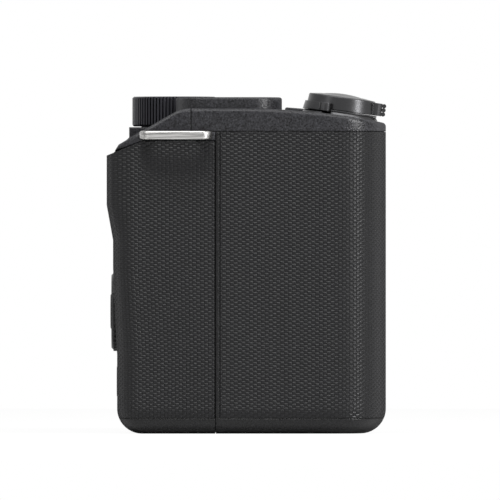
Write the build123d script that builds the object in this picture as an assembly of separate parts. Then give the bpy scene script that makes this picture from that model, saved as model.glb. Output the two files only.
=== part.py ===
# Mirrorless camera body with a deep right-hand grip, an open bayonet mount, a side-swinging monitor,
# a zoom lever round the shutter button, a tall ribbed dial on the shoulder and a flat strap lug each side.
# Millimetres. +Z is up, the lens looks along -Y and the grip is on the -X side. The origin is the mouth of
# the tripod socket, on the base and in the plane of the lens axis.
from build123d import *
from math import asin, cos, degrees, hypot, pi, radians, sin
import os

os.makedirs("parts", exist_ok=True)

# Casing, measured from the tripod socket.
body_width = 114.8
left_side = 47.8
body_height = 63.7
grip_reach = 28.6
front_reach = 10.0
rear_reach = 19.5
panel_reach = 24.9
panel_lean = 0.8
panel_lean_start = 32.4
panel_lean_end = 15.4
grip_side = left_side - body_width
grip_nose_width = 26.0
grip_root_width = 30.5
panel_width = 36.0
wall = 2.0
edge_round = 4.9
vertical_round = 5.4
grip_nose_round = 11.5
grip_finger_round = 7.5
grip_root_round = 4.0
left_front_round = 8.0
groove_width = 0.25
groove_depth = 0.3
seam_width = 0.12
clearance = 0.15

# Seams between the covers.
seam_y = 4.8
top_seam_drop = 4.5
top_seam_y = 9.6
strip_width = 0.8
skin = 0.8
base_line = 3.0

# Top: it falls away in a wide arc in front of the tripod axis, and the right shoulder slopes to the rear.
top_arc_radius = 144.0
shoulder_start = 11.5
shoulder_angle = 30.0
shoulder_blend = 7.0
shoulder_end_angle = 57.0
shoulder_end_run = 1.15
shelf_drop = 3.6
shelf_reach = 21.8
shelf_step = 2.0
top_edge_round = 0.8
dial_x = -40.5
dial_y = 12.97
dial_radius = 8.25
dial_height = 5.85
dial_ribs = 76
dial_rib_depth = 0.32
dial_edge = 0.3
island_width = 14.6
island_inset = 1.9
island_front = -8.2
island_rear = 12.6
island_height = 2.2
island_round = 7.0
movie_y = -2.6
mode_y = 6.6
custom_x = -43.5
custom_y = -11.5

# Thumb rest, a proud ridge on the rear of the grip.
thumb_proud = 1.25
thumb_drop = 8.9
thumb_length = 10.0
thumb_run_out = 6.9
thumb_width = 16.5
thumb_slope_rise = 2.7
thumb_slope_run = 6.9
thumb_slope_start = 19.0
thumb_side_width = 9.0

# Shutter group, square to the top arc where it stands.
shutter_x = -53.5
shutter_y = -19.6
collar_radius = 7.4
collar_flare = 0.3
collar_height = 0.45
collar_sink = 0.8
post_radius = 2.6
post_top = 1.5
zoom_radius_top = 6.55
zoom_radius_foot = 6.85
zoom_height = 2.7
zoom_edge = 0.3
zoom_crown = 0.26
zoom_tab_reach = 8.76
zoom_tab_width = 5.4
zoom_tab_drop = 0.25
zoom_ribs = 3
zoom_rib_radius = 0.42
shutter_button_radius = 4.1
shutter_button_rise = 0.45
shutter_stem_radius = 1.2
shutter_travel = 0.6
power_radius_top = 7.15
power_radius_foot = 7.45
power_height = 1.6
power_plate = 0.35
power_tab_angle = 156.5
power_tab_reach = 8.9
power_tab_width = 2.2

# Lens mount.
lens_rise = 0.15
flange_reach = 14.0
ring_radius = 29.0
ring_thickness = 2.6
boss_wall = 1.7
boss_reach = 12.6
throat_radius = 23.05
bayonet_radius = 25.2
bayonet_lip = 1.3
bayonet_notches = 3
bayonet_notch_angle = 24.0
mount_screw_circle = 27.2
mount_screw_radius = 1.25
mount_shank_radius = 0.75
cup_radius = 24.4
cup_wall = 1.0
frame_margin = 2.0
cup_rear = 0.5
frame_thickness = 2.0
window_width = 28.0
window_height = 20.0
release_x = -29.3
release_drop = 19.4
release_radius = 2.9
release_rise = 0.9
lock_pin_radius = 1.0
lock_pin_angle = 188.0
lamp_x = -27.5
lamp_drop = 8.7
lamp_radius = 2.0
contact_count = 10
contact_spread = 44.0
contact_depth = 3.8

# Sensor stack and boards.
flange_to_sensor = 18.0
sensor_width = 23.5
sensor_height = 15.6
package_rim = 3.2
glass_rim = 2.0
package_lip = 1.6
package_thickness = 2.5
glass_thickness = 1.2
plate_thickness = 1.2
board_thickness = 1.0
main_board_y = 8.6
board_margin = 5.5
boss_radius = 2.0

# Battery and card.
battery_width = 18.0
battery_depth = 32.0
battery_height = 45.0
battery_x = -52.1
battery_y = 1.4
battery_z = 4.0
box_wall = 0.8
card_thickness = 2.1
card_width = 24.0
card_height = 32.0
card_y = 3.8
card_z = 4.4
card_gap = 0.1

# Base.
base_thickness = 1.2
base_inset = 5.2
door_inset = 5.0
door_gap = 0.15
door_recess = 0.3
door_relief = 1.6
door_thickness = 1.1
door_rear = 18.6
door_hinge_x = -37.3
door_pin_radius = 0.35
latch_x = -58.4
latch_y = -2.0
latch_length = 9.0
latch_width = 3.6
latch_travel = 2.0
latch_thickness = 0.75
latch_proud = 0.2
latch_grooves = 5
tripod_radius = 2.55
tripod_floor = 1.0
bush_radius = 5.5
bush_gap = 1.1
base_screw_x = -27.0
base_screw_y = -0.7
base_screw_step = 11.0
base_screw_edge = 4.3
base_screw_radius = 1.4
base_shank_radius = 0.8

# Monitor and its bay.
bay_floor = 14.7
bay_bottom = 4.6
monitor_gap = 0.5
monitor_thickness = 6.1
monitor_edge = 1.2
glass_recess = 0.9
pin_x = 45.0
pin_y = 18.0
pin_radius = 1.0
knuckle_radius = 2.7
knuckle_height = 4.0
arm_height = 28.0
arm_to_monitor = 4.0
tilt_shaft_radius = 1.8

# Rear controls.
wheel_x = -46.0
wheel_z = 23.9
wheel_radius = 7.8
wheel_depth = 1.6
wheel_proud = 0.4
wheel_ridges = 40
wheel_ridge_depth = 0.3
wheel_hole = 3.6
rear_button_radius = 3.1
rear_button_rise = 0.12
rear_flange = 0.6
menu_x = -38.2
menu_drop = 7.5
function_x = -37.6
function_share = 0.538
low_controls_z = 10.2
playback_x = -53.2
delete_x = -38.8
switch_board_depth = 4.0

# Top furniture.
shoe_width = 21.4
shoe_length = 18.6
shoe_slot = 18.7
shoe_gap = 12.8
shoe_height = 1.7
shoe_sink = 1.1
shoe_stop = 1.2
shoe_slot_height = 2.2
shoe_contact_count = 5
shoe_y = 2.6
mic_x = 30.5
mic_y = 2.6
mic_width = 25.0
mic_length = 15.0
mic_rise = 0.8
mic_slots = 9
mic_recess = 1.2

# Strap lugs.
lug_front = 5.1
left_lug_front = -2.4
lug_rear = 20.0
lug_drop = 5.3
lug_thickness = 1.76
lug_reach = 4.6
lug_bar = 1.6
lug_edge = 0.45

# Ports on the left end.
port_y = 6.2
mic_jack_drop = 15.2
phones_step = 12.0
usb_step = 10.0
hdmi_step = 9.0
jack_radius = 1.75
jack_body_radius = 2.4
port_hinge_y = 0.4
port_door_rear = 12.2
port_door_thickness = 1.0
usb_width = 3.2
usb_length = 9.0
hdmi_width = 3.4
hdmi_length = 6.8
port_metal = 0.3

# Places that follow from the sizes above.
nose_inner = grip_side + grip_nose_width
root_x = grip_side + grip_root_width
panel_x = grip_side + panel_width
top_seam_z = body_height - top_seam_drop
lens_z = body_height / 2 + lens_rise
thumb_top = body_height - thumb_drop
thumb_low = thumb_top - thumb_length
thumb_foot = thumb_low - thumb_run_out
shelf_z = body_height - shelf_drop
shelf_edge_z = shelf_z - shelf_step - (panel_reach - shelf_reach)
menu_z = shelf_edge_z - menu_drop
function_z = wheel_z + (menu_z - wheel_z) * function_share
lug_z = body_height - lug_drop
mic_jack_z = body_height - mic_jack_drop
phones_jack_z = mic_jack_z - phones_step
usb_z = phones_jack_z - usb_step
hdmi_z = usb_z - hdmi_step
release_z = lens_z - release_drop
lamp_z = body_height - lamp_drop
bush_height = lens_z - cup_radius - bush_gap
dial_z = shelf_z + clearance + 0.05
front_face = -front_reach
flange_y = -flange_reach
monitor_left = pin_x - arm_to_monitor
monitor_right = panel_x + monitor_gap
monitor_low = bay_bottom + monitor_gap
monitor_high = top_seam_z - monitor_gap
monitor_front = bay_floor + 0.3
monitor_rear = monitor_front + monitor_thickness
battery_top = battery_z + battery_height
box_left = battery_x + battery_width / 2 + clearance + box_wall
card_x = box_left + card_thickness / 2 + box_wall + clearance
sensor_y = flange_y + flange_to_sensor
package_front = sensor_y - package_lip
package_rear = package_front + package_thickness
arm_front = front_face + wall + 0.9
big = 200.0


def around(middle, width):
    """The two limits of a width round a middle."""
    return middle - width / 2, middle + width / 2


def grown(limits, step):
    """The same two limits, each moved outward by a step."""
    return limits[0] - step, limits[1] + step


def mid(limits):
    """Halfway between two limits."""
    return (limits[0] + limits[1]) / 2


def span(limits):
    """The distance between two limits."""
    return limits[1] - limits[0]


def slab(x, y, z):
    """A box given by its limits along each axis."""
    return Pos(mid(x), mid(y), mid(z)) * Box(span(x), span(y), span(z))


def rod_z(x, y, radius, z):
    """A round rod along Z."""
    return Pos(x, y, mid(z)) * Cylinder(radius, span(z))


def rod_y(x, z, radius, y):
    """A round rod along Y."""
    return Pos(x, mid(y), z) * Rot(90, 0, 0) * Cylinder(radius, span(y))


def rod_x(y, z, radius, x):
    """A round rod along X."""
    return Pos(mid(x), y, z) * Rot(0, 90, 0) * Cylinder(radius, span(x))


def disc(radius, low, high):
    """A round disc on the Z axis between two heights."""
    return rod_z(0, 0, radius, (low, high))


def cone(radius_low, radius_high, low, high):
    """A cone frustum along Z between two heights."""
    form = Cone(radius_low, radius_high, high - low, align=(Align.CENTER, Align.CENTER, Align.MIN))
    return Pos(0, 0, low) * form


def rounded_polygon(corners):
    """A face on XY from corners given as x, y and the corner's radius."""
    face = make_face(Polyline(*[(x, y) for x, y, radius in corners], close=True))
    for x, y, radius in corners:
        if radius > 0:
            nearest = face.vertices().sort_by_distance((x, y, 0))[0]
            face = fillet(nearest, radius)
    return face


def plate_z(x, y, z, radius):
    """A plate with rounded corners seen from above."""
    plan = Pos(mid(x), mid(y), z[0]) * RectangleRounded(span(x), span(y), radius)
    return extrude(plan, span(z), dir=(0, 0, 1))


def plate_y(x, y, z, radius):
    """A plate with rounded corners seen from the front or rear."""
    plan = Plane.XZ * Pos(mid(x), mid(z)) * RectangleRounded(span(x), span(z), radius)
    return Pos(0, y[0], 0) * extrude(plan, span(y), dir=(0, 1, 0))


def plate_x(x, y, z, radius):
    """A plate with rounded corners seen from the side."""
    plan = Plane.YZ * Pos(mid(y), mid(z)) * RectangleRounded(span(y), span(z), radius)
    return Pos(x[0], 0, 0) * extrude(plan, span(x), dir=(1, 0, 0))


def prism_x(points, x):
    """A closed outline in Y and Z, drawn out between two places along X."""
    outline = make_face(Plane.YZ * Polyline(*points, close=True))
    return Pos(x[0], 0, 0) * extrude(outline, span(x), dir=(1, 0, 0))


def sector(radius_low, radius_high, angle_low, angle_high, z):
    """A ring segment round the Z axis, between two radii and two angles in degrees."""
    sweep = angle_high - angle_low
    ring = Cylinder(radius_high, span(z), arc_size=sweep, align=(Align.NONE, Align.NONE, Align.MIN))
    ring -= disc(radius_low, 0, span(z))
    return Pos(0, 0, z[0]) * Rot(0, 0, angle_low) * ring


def grip_outline(rear, inset):
    """The grip and the rear control panel seen from above."""
    face = rounded_polygon(
        [
            (grip_side, rear, vertical_round),
            (grip_side, -grip_reach, grip_nose_round),
            (nose_inner, -grip_reach, grip_finger_round),
            (root_x, front_face, grip_root_round),
            (panel_x + inset, front_face, 0),
            (panel_x + inset, rear, 0),
        ]
    )
    return offset(face, amount=-inset) if inset else face


def body_outline(inset):
    """The part of the casing that holds the mount and the monitor, seen from above."""
    face = rounded_polygon(
        [
            (root_x + grip_root_round - inset, front_face, 0),
            (left_side, front_face, left_front_round),
            (left_side, rear_reach, vertical_round),
            (root_x + grip_root_round - inset, rear_reach, 0),
        ]
    )
    return offset(face, amount=-inset) if inset else face


def grip_block(inset):
    """Grip and control panel: upright below and above, leaning back between."""
    low = grip_outline(panel_reach - panel_lean, inset)
    high = grip_outline(panel_reach, inset)
    foot = extrude(Pos(0, 0, inset) * low, panel_lean_end - inset)
    lean_ends = [Pos(0, 0, panel_lean_end) * low.face(), Pos(0, 0, panel_lean_start) * high.face()]
    lean = loft(lean_ends, ruled=True)
    upper = extrude(Pos(0, 0, panel_lean_start) * high, body_height - inset - panel_lean_start)
    edges = [e for e in foot.edges() if e.center().Z < inset + 0.01]
    edges = [e for e in edges if abs(e.center().X - panel_x) > 0.01]
    foot = fillet(edges, edge_round - inset)
    return foot + lean + upper


def main_block(inset):
    """The rest of the casing, with the same round along its base."""
    start = root_x + grip_root_round
    block = extrude(Pos(0, 0, inset) * body_outline(inset), body_height - 2 * inset)
    edges = [e for e in block.edges() if e.center().Z < inset + 0.01]
    edges = [e for e in edges if abs(e.center().X - start) > 0.01]
    return fillet(edges, edge_round - inset)


def above_arc(inset):
    """Everything over the forward slope of the top."""
    radius = top_arc_radius - inset
    sweep = asin((grip_reach + 6) / radius)
    middle = (-radius * sin(sweep / 2), body_height - inset - radius * (1 - cos(sweep / 2)))
    end = (-radius * sin(sweep), body_height - inset - radius * (1 - cos(sweep)))
    outline = make_face(
        [
            Plane.YZ * ThreePointArc((0, body_height - inset), middle, end),
            Plane.YZ * Polyline(end, (end[0], big), (0, big), (0, body_height - inset)),
        ]
    )
    return Pos(-big, 0, 0) * extrude(outline, 2 * big, dir=(1, 0, 0))


def above_shoulder(inset):
    """Everything over the sloping right shoulder, blended into the flat of the top by an arc."""
    slope = radians(shoulder_angle)
    blend = shoulder_blend - inset
    start = shoulder_start - shoulder_blend * (1 - cos(slope)) / sin(slope)
    middle = body_height - shoulder_blend
    rear = panel_reach + thumb_proud + 8
    crown = (start, middle + blend)
    half_way = (start + blend * sin(slope / 2), middle + blend * cos(slope / 2))
    bend = (start + blend * sin(slope), middle + blend * cos(slope))
    low = (rear, bend[1] - (rear - bend[0]) * sin(slope) / cos(slope))
    outline = make_face(
        [
            Plane.YZ * ThreePointArc(crown, half_way, bend),
            Plane.YZ * Polyline(bend, low, (rear, big), (start, big), crown),
        ]
    )
    reach = big + dial_x - dial_radius - clearance * 4 + inset
    return Pos(-big, 0, 0) * extrude(outline, reach, dir=(1, 0, 0))


def shoulder_end(inset):
    """Everything beyond the steeper facet that ends the shoulder over the thumb rest."""
    slope = radians(shoulder_end_angle)
    y = panel_reach - shoulder_end_run
    start = (y - inset * sin(slope), top_height(grip_side, y) - inset * cos(slope))
    low = (start[0] + 4 * cos(slope), start[1] - 4 * sin(slope))
    high = (start[0] - 4 * cos(slope), start[1] + 4 * sin(slope))
    inner_end = dial_x - dial_radius - clearance * 4 + inset
    return prism_x([high, low, (big, low[1]), (big, high[1])], (-big, inner_end))


def shelf_notch(inset):
    """The step in the right rear of the top that the dial stands on, with its sloping rear edge."""
    side = dial_radius + clearance * 5
    across = (dial_x - side - inset, panel_x + inset)
    notch = rod_z(dial_x, dial_y, side + inset, (shelf_z - inset, big))
    notch += slab(across, (dial_y, big), (shelf_z - inset, big))
    notch += slab(across, (shelf_reach - inset, big), (shelf_z - shelf_step - inset, big))
    slope = prism_x(
        [
            (shelf_reach - inset, shelf_z - shelf_step - inset),
            (panel_reach + big - inset, shelf_z - shelf_step - big - inset),
            (panel_reach + big, big),
            (shelf_reach - inset, big),
        ],
        across,
    )
    return notch + slope


def monitor_bay(inset):
    """The recess that the monitor folds into, open at the left end."""
    heights = (bay_bottom - inset, top_seam_z + inset)
    return slab((panel_x - inset, left_side + big), (bay_floor - inset, big), heights)


def top_height(x, y):
    """Height of the casing's top over a place seen from above."""
    if y < 0:
        return body_height - top_arc_radius + (top_arc_radius**2 - y**2) ** 0.5
    slope = radians(shoulder_angle)
    start = shoulder_start - shoulder_blend * (1 - cos(slope)) / sin(slope)
    if y < start or x > dial_x:
        return body_height
    if y < start + shoulder_blend * sin(slope):
        return body_height - shoulder_blend + (shoulder_blend**2 - (y - start) ** 2) ** 0.5
    return body_height - (y - shoulder_start) * sin(slope) / cos(slope)


def is_top_rim(edge):
    """True for an edge between the top and the upright sides of the casing."""
    place = edge.position_at(0.5)
    on_top = abs(place.Z - top_height(place.X, place.Y)) < 0.02
    crosses = abs(edge.tangent_at(0.5).X) > 0.99 and -grip_reach + 1 < place.Y < rear_reach - 1
    inner_step = abs(place.X - (dial_x - dial_radius - clearance * 4)) < 0.05
    return on_top and not crosses and not inner_step


def envelope(inset):
    """The casing's outer form, or the same form shrunk by a wall."""
    form = grip_block(inset) + main_block(inset)
    form -= slab((panel_x - inset, big), (rear_reach - inset, big), (-big, big))
    form -= above_arc(inset)
    form -= above_shoulder(inset)
    if inset == 0:
        form = fillet([e for e in form.edges() if is_top_rim(e)], top_edge_round)
    form -= shoulder_end(inset)
    form -= shelf_notch(inset)
    form -= monitor_bay(inset)
    return form


def thumb_ridge(inset):
    """The proud ridge behind the grip, without the casing it stands on."""
    rear = panel_reach + thumb_proud - inset
    root = panel_reach - panel_lean - skin
    outline = [
        (root, thumb_foot + inset),
        (panel_reach - inset, thumb_foot + inset),
        (rear, thumb_low + inset),
        (rear, thumb_top - inset),
        (root, thumb_top - inset + (rear - root) * thumb_slope_rise / thumb_slope_run),
    ]
    ridge = prism_x(outline, (grip_side + 0.4, grip_side + thumb_width))
    ends = [e for e in ridge.edges() if abs(e.tangent_at(0.5).X) < 0.1 and e.center().Y > panel_reach]
    return fillet(ends, thumb_proud * 0.8)


def button(cap_radius, low, face, flange):
    """A push button along Z with a retaining flange at its foot and a rounded face."""
    cap = disc(cap_radius, low, face)
    cap = fillet(cap.edges().sort_by(Axis.Z)[-1], min(0.35, cap_radius / 6))
    return cap + disc(cap_radius + 0.6, low, low + flange)


def facing_rear(x, y, z):
    """Turns a shape that faces +Z so that it faces +Y at a place."""
    return Pos(x, y, z) * Rot(-90, 0, 0)


def facing_front(x, y, z):
    """Turns a shape that faces +Z so that it faces -Y at a place."""
    return Pos(x, y, z) * Rot(90, 0, 0)


def square_to_top(x, y):
    """Places a shape on the forward slope of the top, square to it."""
    return Pos(x, y, top_height(x, y)) * Rot(degrees(asin(-y / top_arc_radius)), 0, 0)


def on_mount(angle, radius):
    """X and Z of a place on a circle round the lens axis."""
    return radius * cos(radians(angle)), lens_z + radius * sin(radians(angle))


def save(node, shape):
    """Writes one node's solid or solids."""
    export_step(shape, f"parts/{node}.step")


# Casing forms: outside, beneath the rubber, and inside.
outer = envelope(0)
under_skin = envelope(skin)
inner = envelope(wall)
shell = outer - inner
skin_layer = outer - under_skin
rim = outer - envelope(groove_depth)

# Rubber skins, let in flush: one wraps the grip's front, one wraps its rear and carries the thumb ridge.
skin_end_x = root_x + grip_root_round - 0.3
front_zone = slab((-big, skin_end_x), (-big, seam_y - strip_width), (base_line, top_seam_z))
front_zone_fit = slab(
    (-big, skin_end_x - groove_width),
    (-big, seam_y - strip_width - groove_width),
    (base_line + groove_width, top_seam_z - groove_width),
)
rear_top = prism_x(
    [
        (-big, lug_z - lug_thickness / 2),
        (thumb_slope_start, lug_z - lug_thickness / 2),
        (big, lug_z - lug_thickness / 2 - (big - thumb_slope_start) * thumb_slope_rise / thumb_slope_run),
        (big, -big),
        (-big, -big),
    ],
    (-big, big),
)
side_edge = grip_side + thumb_side_width
back_edge = grip_side + thumb_width + 0.5
back_foot = thumb_foot - 1.5
rear_side = slab((-big, side_edge), (seam_y, big), (base_line, big))
rear_back = slab((-big, back_edge), (seam_y, big), (back_foot, big))
rear_zone = (rear_side + rear_back) & rear_top
behind_seam = (seam_y + groove_width, big)
rear_fit = slab((-big, side_edge - groove_width), behind_seam, (base_line + groove_width, big))
rear_fit += slab((-big, back_edge - groove_width), behind_seam, (back_foot + groove_width, big))
rear_zone_fit = rear_fit & (Pos(0, 0, -groove_width) * rear_top)
grip_skin = skin_layer & front_zone_fit
thumb_skin = (skin_layer & rear_zone_fit) + (thumb_ridge(0) - under_skin)
front_pocket = skin_layer & front_zone
rear_pocket = skin_layer & rear_zone

# Seams cut as fine grooves from outside.
half = seam_width / 2
seams = slab((-big, big), (-big, seam_y), (top_seam_z - half, top_seam_z + half))
seams += slab((-big, big), (seam_y, top_seam_y), (top_seam_z - half, top_seam_z + half))
seams += slab((panel_x, big), (top_seam_y, big), (top_seam_z - half, top_seam_z + half))
seams += slab((-big, big), (seam_y - half, seam_y + half), (-big, top_seam_z))
seams += slab((-big, panel_x), (top_seam_y - half, top_seam_y + half), (top_seam_z, big))
grooves = rim & seams

# Each cover takes its share of the shell.
front_cover = shell & slab((-big, big), (-big, seam_y), (-big, top_seam_z))
rear_cover = shell & slab((-big, big), (seam_y, big), (-big, top_seam_z))
rear_cover += shell & slab((-big, panel_x), (top_seam_y, big), (top_seam_z - 0.01, big))
top_cover = shell & slab((-big, big), (-big, top_seam_y), (top_seam_z, big))
top_cover += shell & slab((panel_x, big), (top_seam_y - 0.01, big), (top_seam_z, big))
under_shelf = slab(
    (dial_x - dial_radius - wall - clearance * 5, panel_x + wall),
    (front_face + 4, top_seam_y),
    (shelf_z - wall - 0.05, top_seam_z),
)
top_cover += shell & under_shelf
front_cover -= under_shelf
rear_cover -= under_shelf
front_cover -= front_pocket + grooves
rear_cover -= rear_pocket + grooves
rear_cover -= thumb_skin
top_cover -= grooves

# Lens mount: a raised boss on the front cover, a seat for the ring and a clear bore.
boss = rod_y(0, lens_z, ring_radius + boss_wall, (-boss_reach, front_face + wall))
front_cover += boss
top_cover -= rod_y(0, lens_z, ring_radius + boss_wall, (-big, front_face + wall))
seat_y = flange_y + ring_thickness
front_cover -= rod_y(0, lens_z, ring_radius, (-big, seat_y))
front_cover -= rod_y(0, lens_z, bayonet_radius + 0.2, (-big, front_face + wall + 0.01))
mount_ring = rod_y(0, lens_z, ring_radius, (flange_y, seat_y))
mount_ring = fillet(mount_ring.edges().sort_by(Axis.Y)[0], 0.4)
mount_ring -= rod_y(0, lens_z, throat_radius, (flange_y, flange_y + bayonet_lip))
mount_ring -= rod_y(0, lens_z, bayonet_radius, (flange_y + bayonet_lip, seat_y))
notch = facing_front(0, flange_y + bayonet_lip, lens_z) * sector(
    throat_radius - 1, bayonet_radius, -bayonet_notch_angle / 2, bayonet_notch_angle / 2, (0, bayonet_lip)
)
for k in range(bayonet_notches):
    turned = Rot(0, 360 / bayonet_notches * k + 40, 0) * (Pos(0, 0, -lens_z) * notch)
    mount_ring -= Pos(0, 0, lens_z) * turned
mount_spring = rod_y(0, lens_z, bayonet_radius + 0.2, (seat_y + 0.15, seat_y + 0.5))
mount_spring -= rod_y(0, lens_z, bayonet_radius - 1.6, (seat_y, seat_y + 1))
screws = []
for angle in (45, 135, 225, 315):
    x, z = on_mount(angle, mount_screw_circle)
    head_seat = flange_y + 1.1
    head = rod_y(x, z, mount_screw_radius, (flange_y + 0.15, head_seat))
    shank = rod_y(x, z, mount_shank_radius, (head_seat, front_face + wall + frame_thickness))
    slot_depth = (flange_y, flange_y + 0.5)
    slot = slab(around(x, mount_screw_radius * 1.4), slot_depth, around(z, 0.36))
    slot += slab(around(x, 0.36), slot_depth, around(z, mount_screw_radius * 1.4))
    screws.append(head + shank - slot)
    shank_hole = rod_y(x, z, mount_shank_radius, (-big, 0))
    mount_ring -= rod_y(x, z, mount_screw_radius, (-big, head_seat)) + shank_hole
    front_cover -= shank_hole
mount_screws = Compound(children=screws)

# Mount frame, light baffle and contacts behind the ring.
frame_front = front_face + wall
frame_rear = frame_front + frame_thickness
frame_side = cup_radius + 0.7
frame_z = around(lens_z, 2 * (cup_radius + frame_margin))
mount_frame = plate_y((-frame_side, frame_side), (frame_front, frame_rear), frame_z, 2.0)
mount_frame -= rod_y(0, lens_z, cup_radius, (-big, big))
post_x = frame_side - 4.0
post_z = 19.5
for x in (-post_x, post_x):
    for z in (lens_z - post_z, lens_z + post_z):
        mount_frame += rod_y(x, z, 1.7, (frame_rear - 0.5, package_rear))
for angle in (45, 135, 225, 315):
    x, z = on_mount(angle, mount_screw_circle)
    mount_frame -= rod_y(x, z, mount_shank_radius, (-big, frame_rear))
light_baffle = rod_y(0, lens_z, cup_radius, (frame_front + 0.2, cup_rear))
light_baffle -= rod_y(0, lens_z, cup_radius - cup_wall, (-big, cup_rear - cup_wall))
light_baffle -= plate_y(around(0, window_width), (-big, big), around(lens_z, window_height), 1.5)
block_low = cup_radius - cup_wall - contact_depth
contact_block = facing_front(0, frame_front, lens_z) * sector(
    block_low, cup_radius - cup_wall, -90 - contact_spread / 2, -90 + contact_spread / 2, (-5.2, 2.6)
)
pins = []
for k in range(contact_count):
    angle = -90 + (k - (contact_count - 1) / 2) * contact_spread / (contact_count + 1)
    x, z = on_mount(angle, block_low + contact_depth * 0.45)
    pins.append(rod_y(x, z, 0.42, (frame_front - 3.0, frame_front - 1.6)))
    contact_block -= rod_y(x, z, 0.42, (frame_front - 3.0, frame_front - 1.6))
contact_pins = Compound(children=pins)

# Sensor stack, held on the frame's four posts, and the main board behind it.
sensor_x = around(0, sensor_width)
sensor_z = around(lens_z, sensor_height)
glass_y = (package_front - glass_thickness, package_front)
sensor_glass = plate_y(grown(sensor_x, glass_rim), glass_y, grown(sensor_z, glass_rim), 1.0)
package_y = (package_front, package_rear)
sensor_package = plate_y(grown(sensor_x, package_rim), package_y, grown(sensor_z, package_rim), 1.0)
sensor_package -= slab(sensor_x, (-big, sensor_y), sensor_z)
sensor_plate = plate_y(
    around(0, 2 * post_x + 6), (package_rear, package_rear + plate_thickness),
    around(lens_z, 2 * post_z + 6), 2.5,
)
board_rear = main_board_y + board_thickness
board_x = (root_x + 7.5, left_side - 6)
board_z = (bush_height + 1, top_seam_z - wall)
main_board = plate_y(board_x, (main_board_y, board_rear), board_z, 1.0)
for x, rise, width, height in ((-12, 8, 14, 14), (8, 6, 11, 12), (-10, -12, 12, 9), (16, -12, 8, 8)):
    chip_y = (board_rear - 0.1, board_rear + 1.2)
    main_board += plate_y(around(x, width), chip_y, around(lens_z + rise, height), 0.6)
for x in (board_x[0] + board_margin, board_x[1] - board_margin):
    for z in (board_z[0] + board_margin, board_z[1] - board_margin):
        rear_cover += rod_y(x, z, boss_radius, (board_rear, bay_floor - wall / 2))

# Strap lugs, flat metal loops let into each side.
lug_high = lug_z + lug_thickness / 2
lug_low = lug_z - lug_thickness / 2
lug_length = lug_rear - lug_front


def strap_lug(side, out, front):
    """A flat loop on one side: side is the casing's face, out is -1 or +1."""
    far = side + out * lug_reach
    root = side - out * (wall + 1.2)
    middle = front + lug_length / 2
    outline = rounded_polygon(
        [
            (root, front + 1.0, 0),
            (far, front, lug_reach * 0.55),
            (far, front + lug_length, lug_reach * 0.55),
            (root, front + lug_length - 1.0, 0),
        ]
    )
    slot = Pos(side + out * (lug_reach - lug_bar) / 2, middle) * RectangleRounded(
        lug_reach - lug_bar, lug_length - 2 * lug_bar - 2.0, (lug_reach - lug_bar) / 2 - 0.01
    )
    lug = extrude(Pos(0, 0, lug_low) * outline, lug_thickness, dir=(0, 0, 1))
    edges = [e for e in lug.faces().filter_by(Axis.Z).edges() if abs(e.center().X - root) > 0.01]
    lug = fillet(edges, lug_edge)
    return lug - extrude(Pos(0, 0, lug_low) * slot, lug_thickness, dir=(0, 0, 1))


strap_lug_right = strap_lug(grip_side, -1, lug_front)
strap_lug_left = strap_lug(left_side, 1, left_lug_front)
rear_cover -= strap_lug_right
top_cover -= strap_lug_right
front_cover -= strap_lug_left
rear_cover -= strap_lug_left
top_cover -= strap_lug_left

# Battery, its box, the card beside it and the door under both.
battery_plan = (around(battery_x, battery_width), around(battery_y, battery_depth))
bay_plan = (grown(battery_plan[0], clearance), grown(battery_plan[1], clearance))
battery_pack = plate_z(*battery_plan, (battery_z, battery_top), 2.0)
bay_top = battery_top + clearance
battery_box = slab(grown(bay_plan[0], box_wall), grown(bay_plan[1], box_wall), (wall, bay_top + box_wall))
battery_box -= slab(*bay_plan, (-big, bay_top))
battery_box = battery_box & inner
battery_pack += plate_z(around(battery_x, 10), around(battery_y, 18), (battery_top - 0.1, bay_top), 1.0)
card_plan = (around(card_x, card_thickness), around(card_y, card_width))
slot_plan = (grown(card_plan[0], card_gap), grown(card_plan[1], card_gap))
card_top = card_z + card_height
memory_card = plate_x(*card_plan, (card_z, card_top), 0.8)
socket_x = (box_left, slot_plan[0][1] + box_wall)
socket_y = grown(slot_plan[1], box_wall)
card_socket = slab(socket_x, socket_y, (wall, card_top - 3))
card_socket -= slab(*slot_plan, (-big, big))
card_socket += slab(socket_x, socket_y, (card_top, card_top + box_wall))
card_socket += slab((box_left, box_left + box_wall), socket_y, (card_top - 4, card_top + box_wall))
card_socket = card_socket & inner

low_rear = panel_reach - panel_lean
door_low = door_recess
door_high = door_recess + door_thickness
door_pin_z = door_low + door_thickness / 2
barrel = door_thickness / 2


def door_outline(inset, right, rear):
    """The battery door's plan: it follows the grip's base."""
    limits = Pos((right - big) / 2, (rear - big) / 2) * Rectangle(right + big, rear + big)
    return grip_outline(low_rear, inset) & limits


barrel_front = front_face + 4.3
door_plan = door_outline(door_inset + door_gap, door_hinge_x, door_rear)
door = extrude(Pos(0, 0, door_low) * door_plan, door_thickness)
door -= slab((door_hinge_x - door_relief, big), (-big, barrel_front), (-big, big))
door += rod_y(door_hinge_x, door_pin_z, barrel, (barrel_front, door_rear))
door += rod_y(door_hinge_x, door_pin_z, door_pin_radius, (barrel_front - 1.0, door_rear + 0.9))
recess_side = door_hinge_x + barrel + 3 * door_gap
recess_plan = door_outline(door_inset, recess_side, door_rear + door_gap)
recess = extrude(Pos(0, 0, -1) * recess_plan, 1 + door_high + door_gap)
recess += slab((door_hinge_x - barrel, recess_side), (barrel_front - door_gap, 0), (-1, door_high + door_gap))
pin_bore = rod_y(door_hinge_x, door_pin_z, door_pin_radius + 0.08, (barrel_front - 1.1, door_rear + 1.0))
door_cut = recess + pin_bore
door_cut += slab(*bay_plan, (0, wall + 0.01))
door_cut += slab(*slot_plan, (0, wall + 0.01))
front_cover -= door_cut
rear_cover -= door_cut
latch_span = around(latch_x, latch_width)
latch_run = around(latch_y, latch_length)
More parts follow.
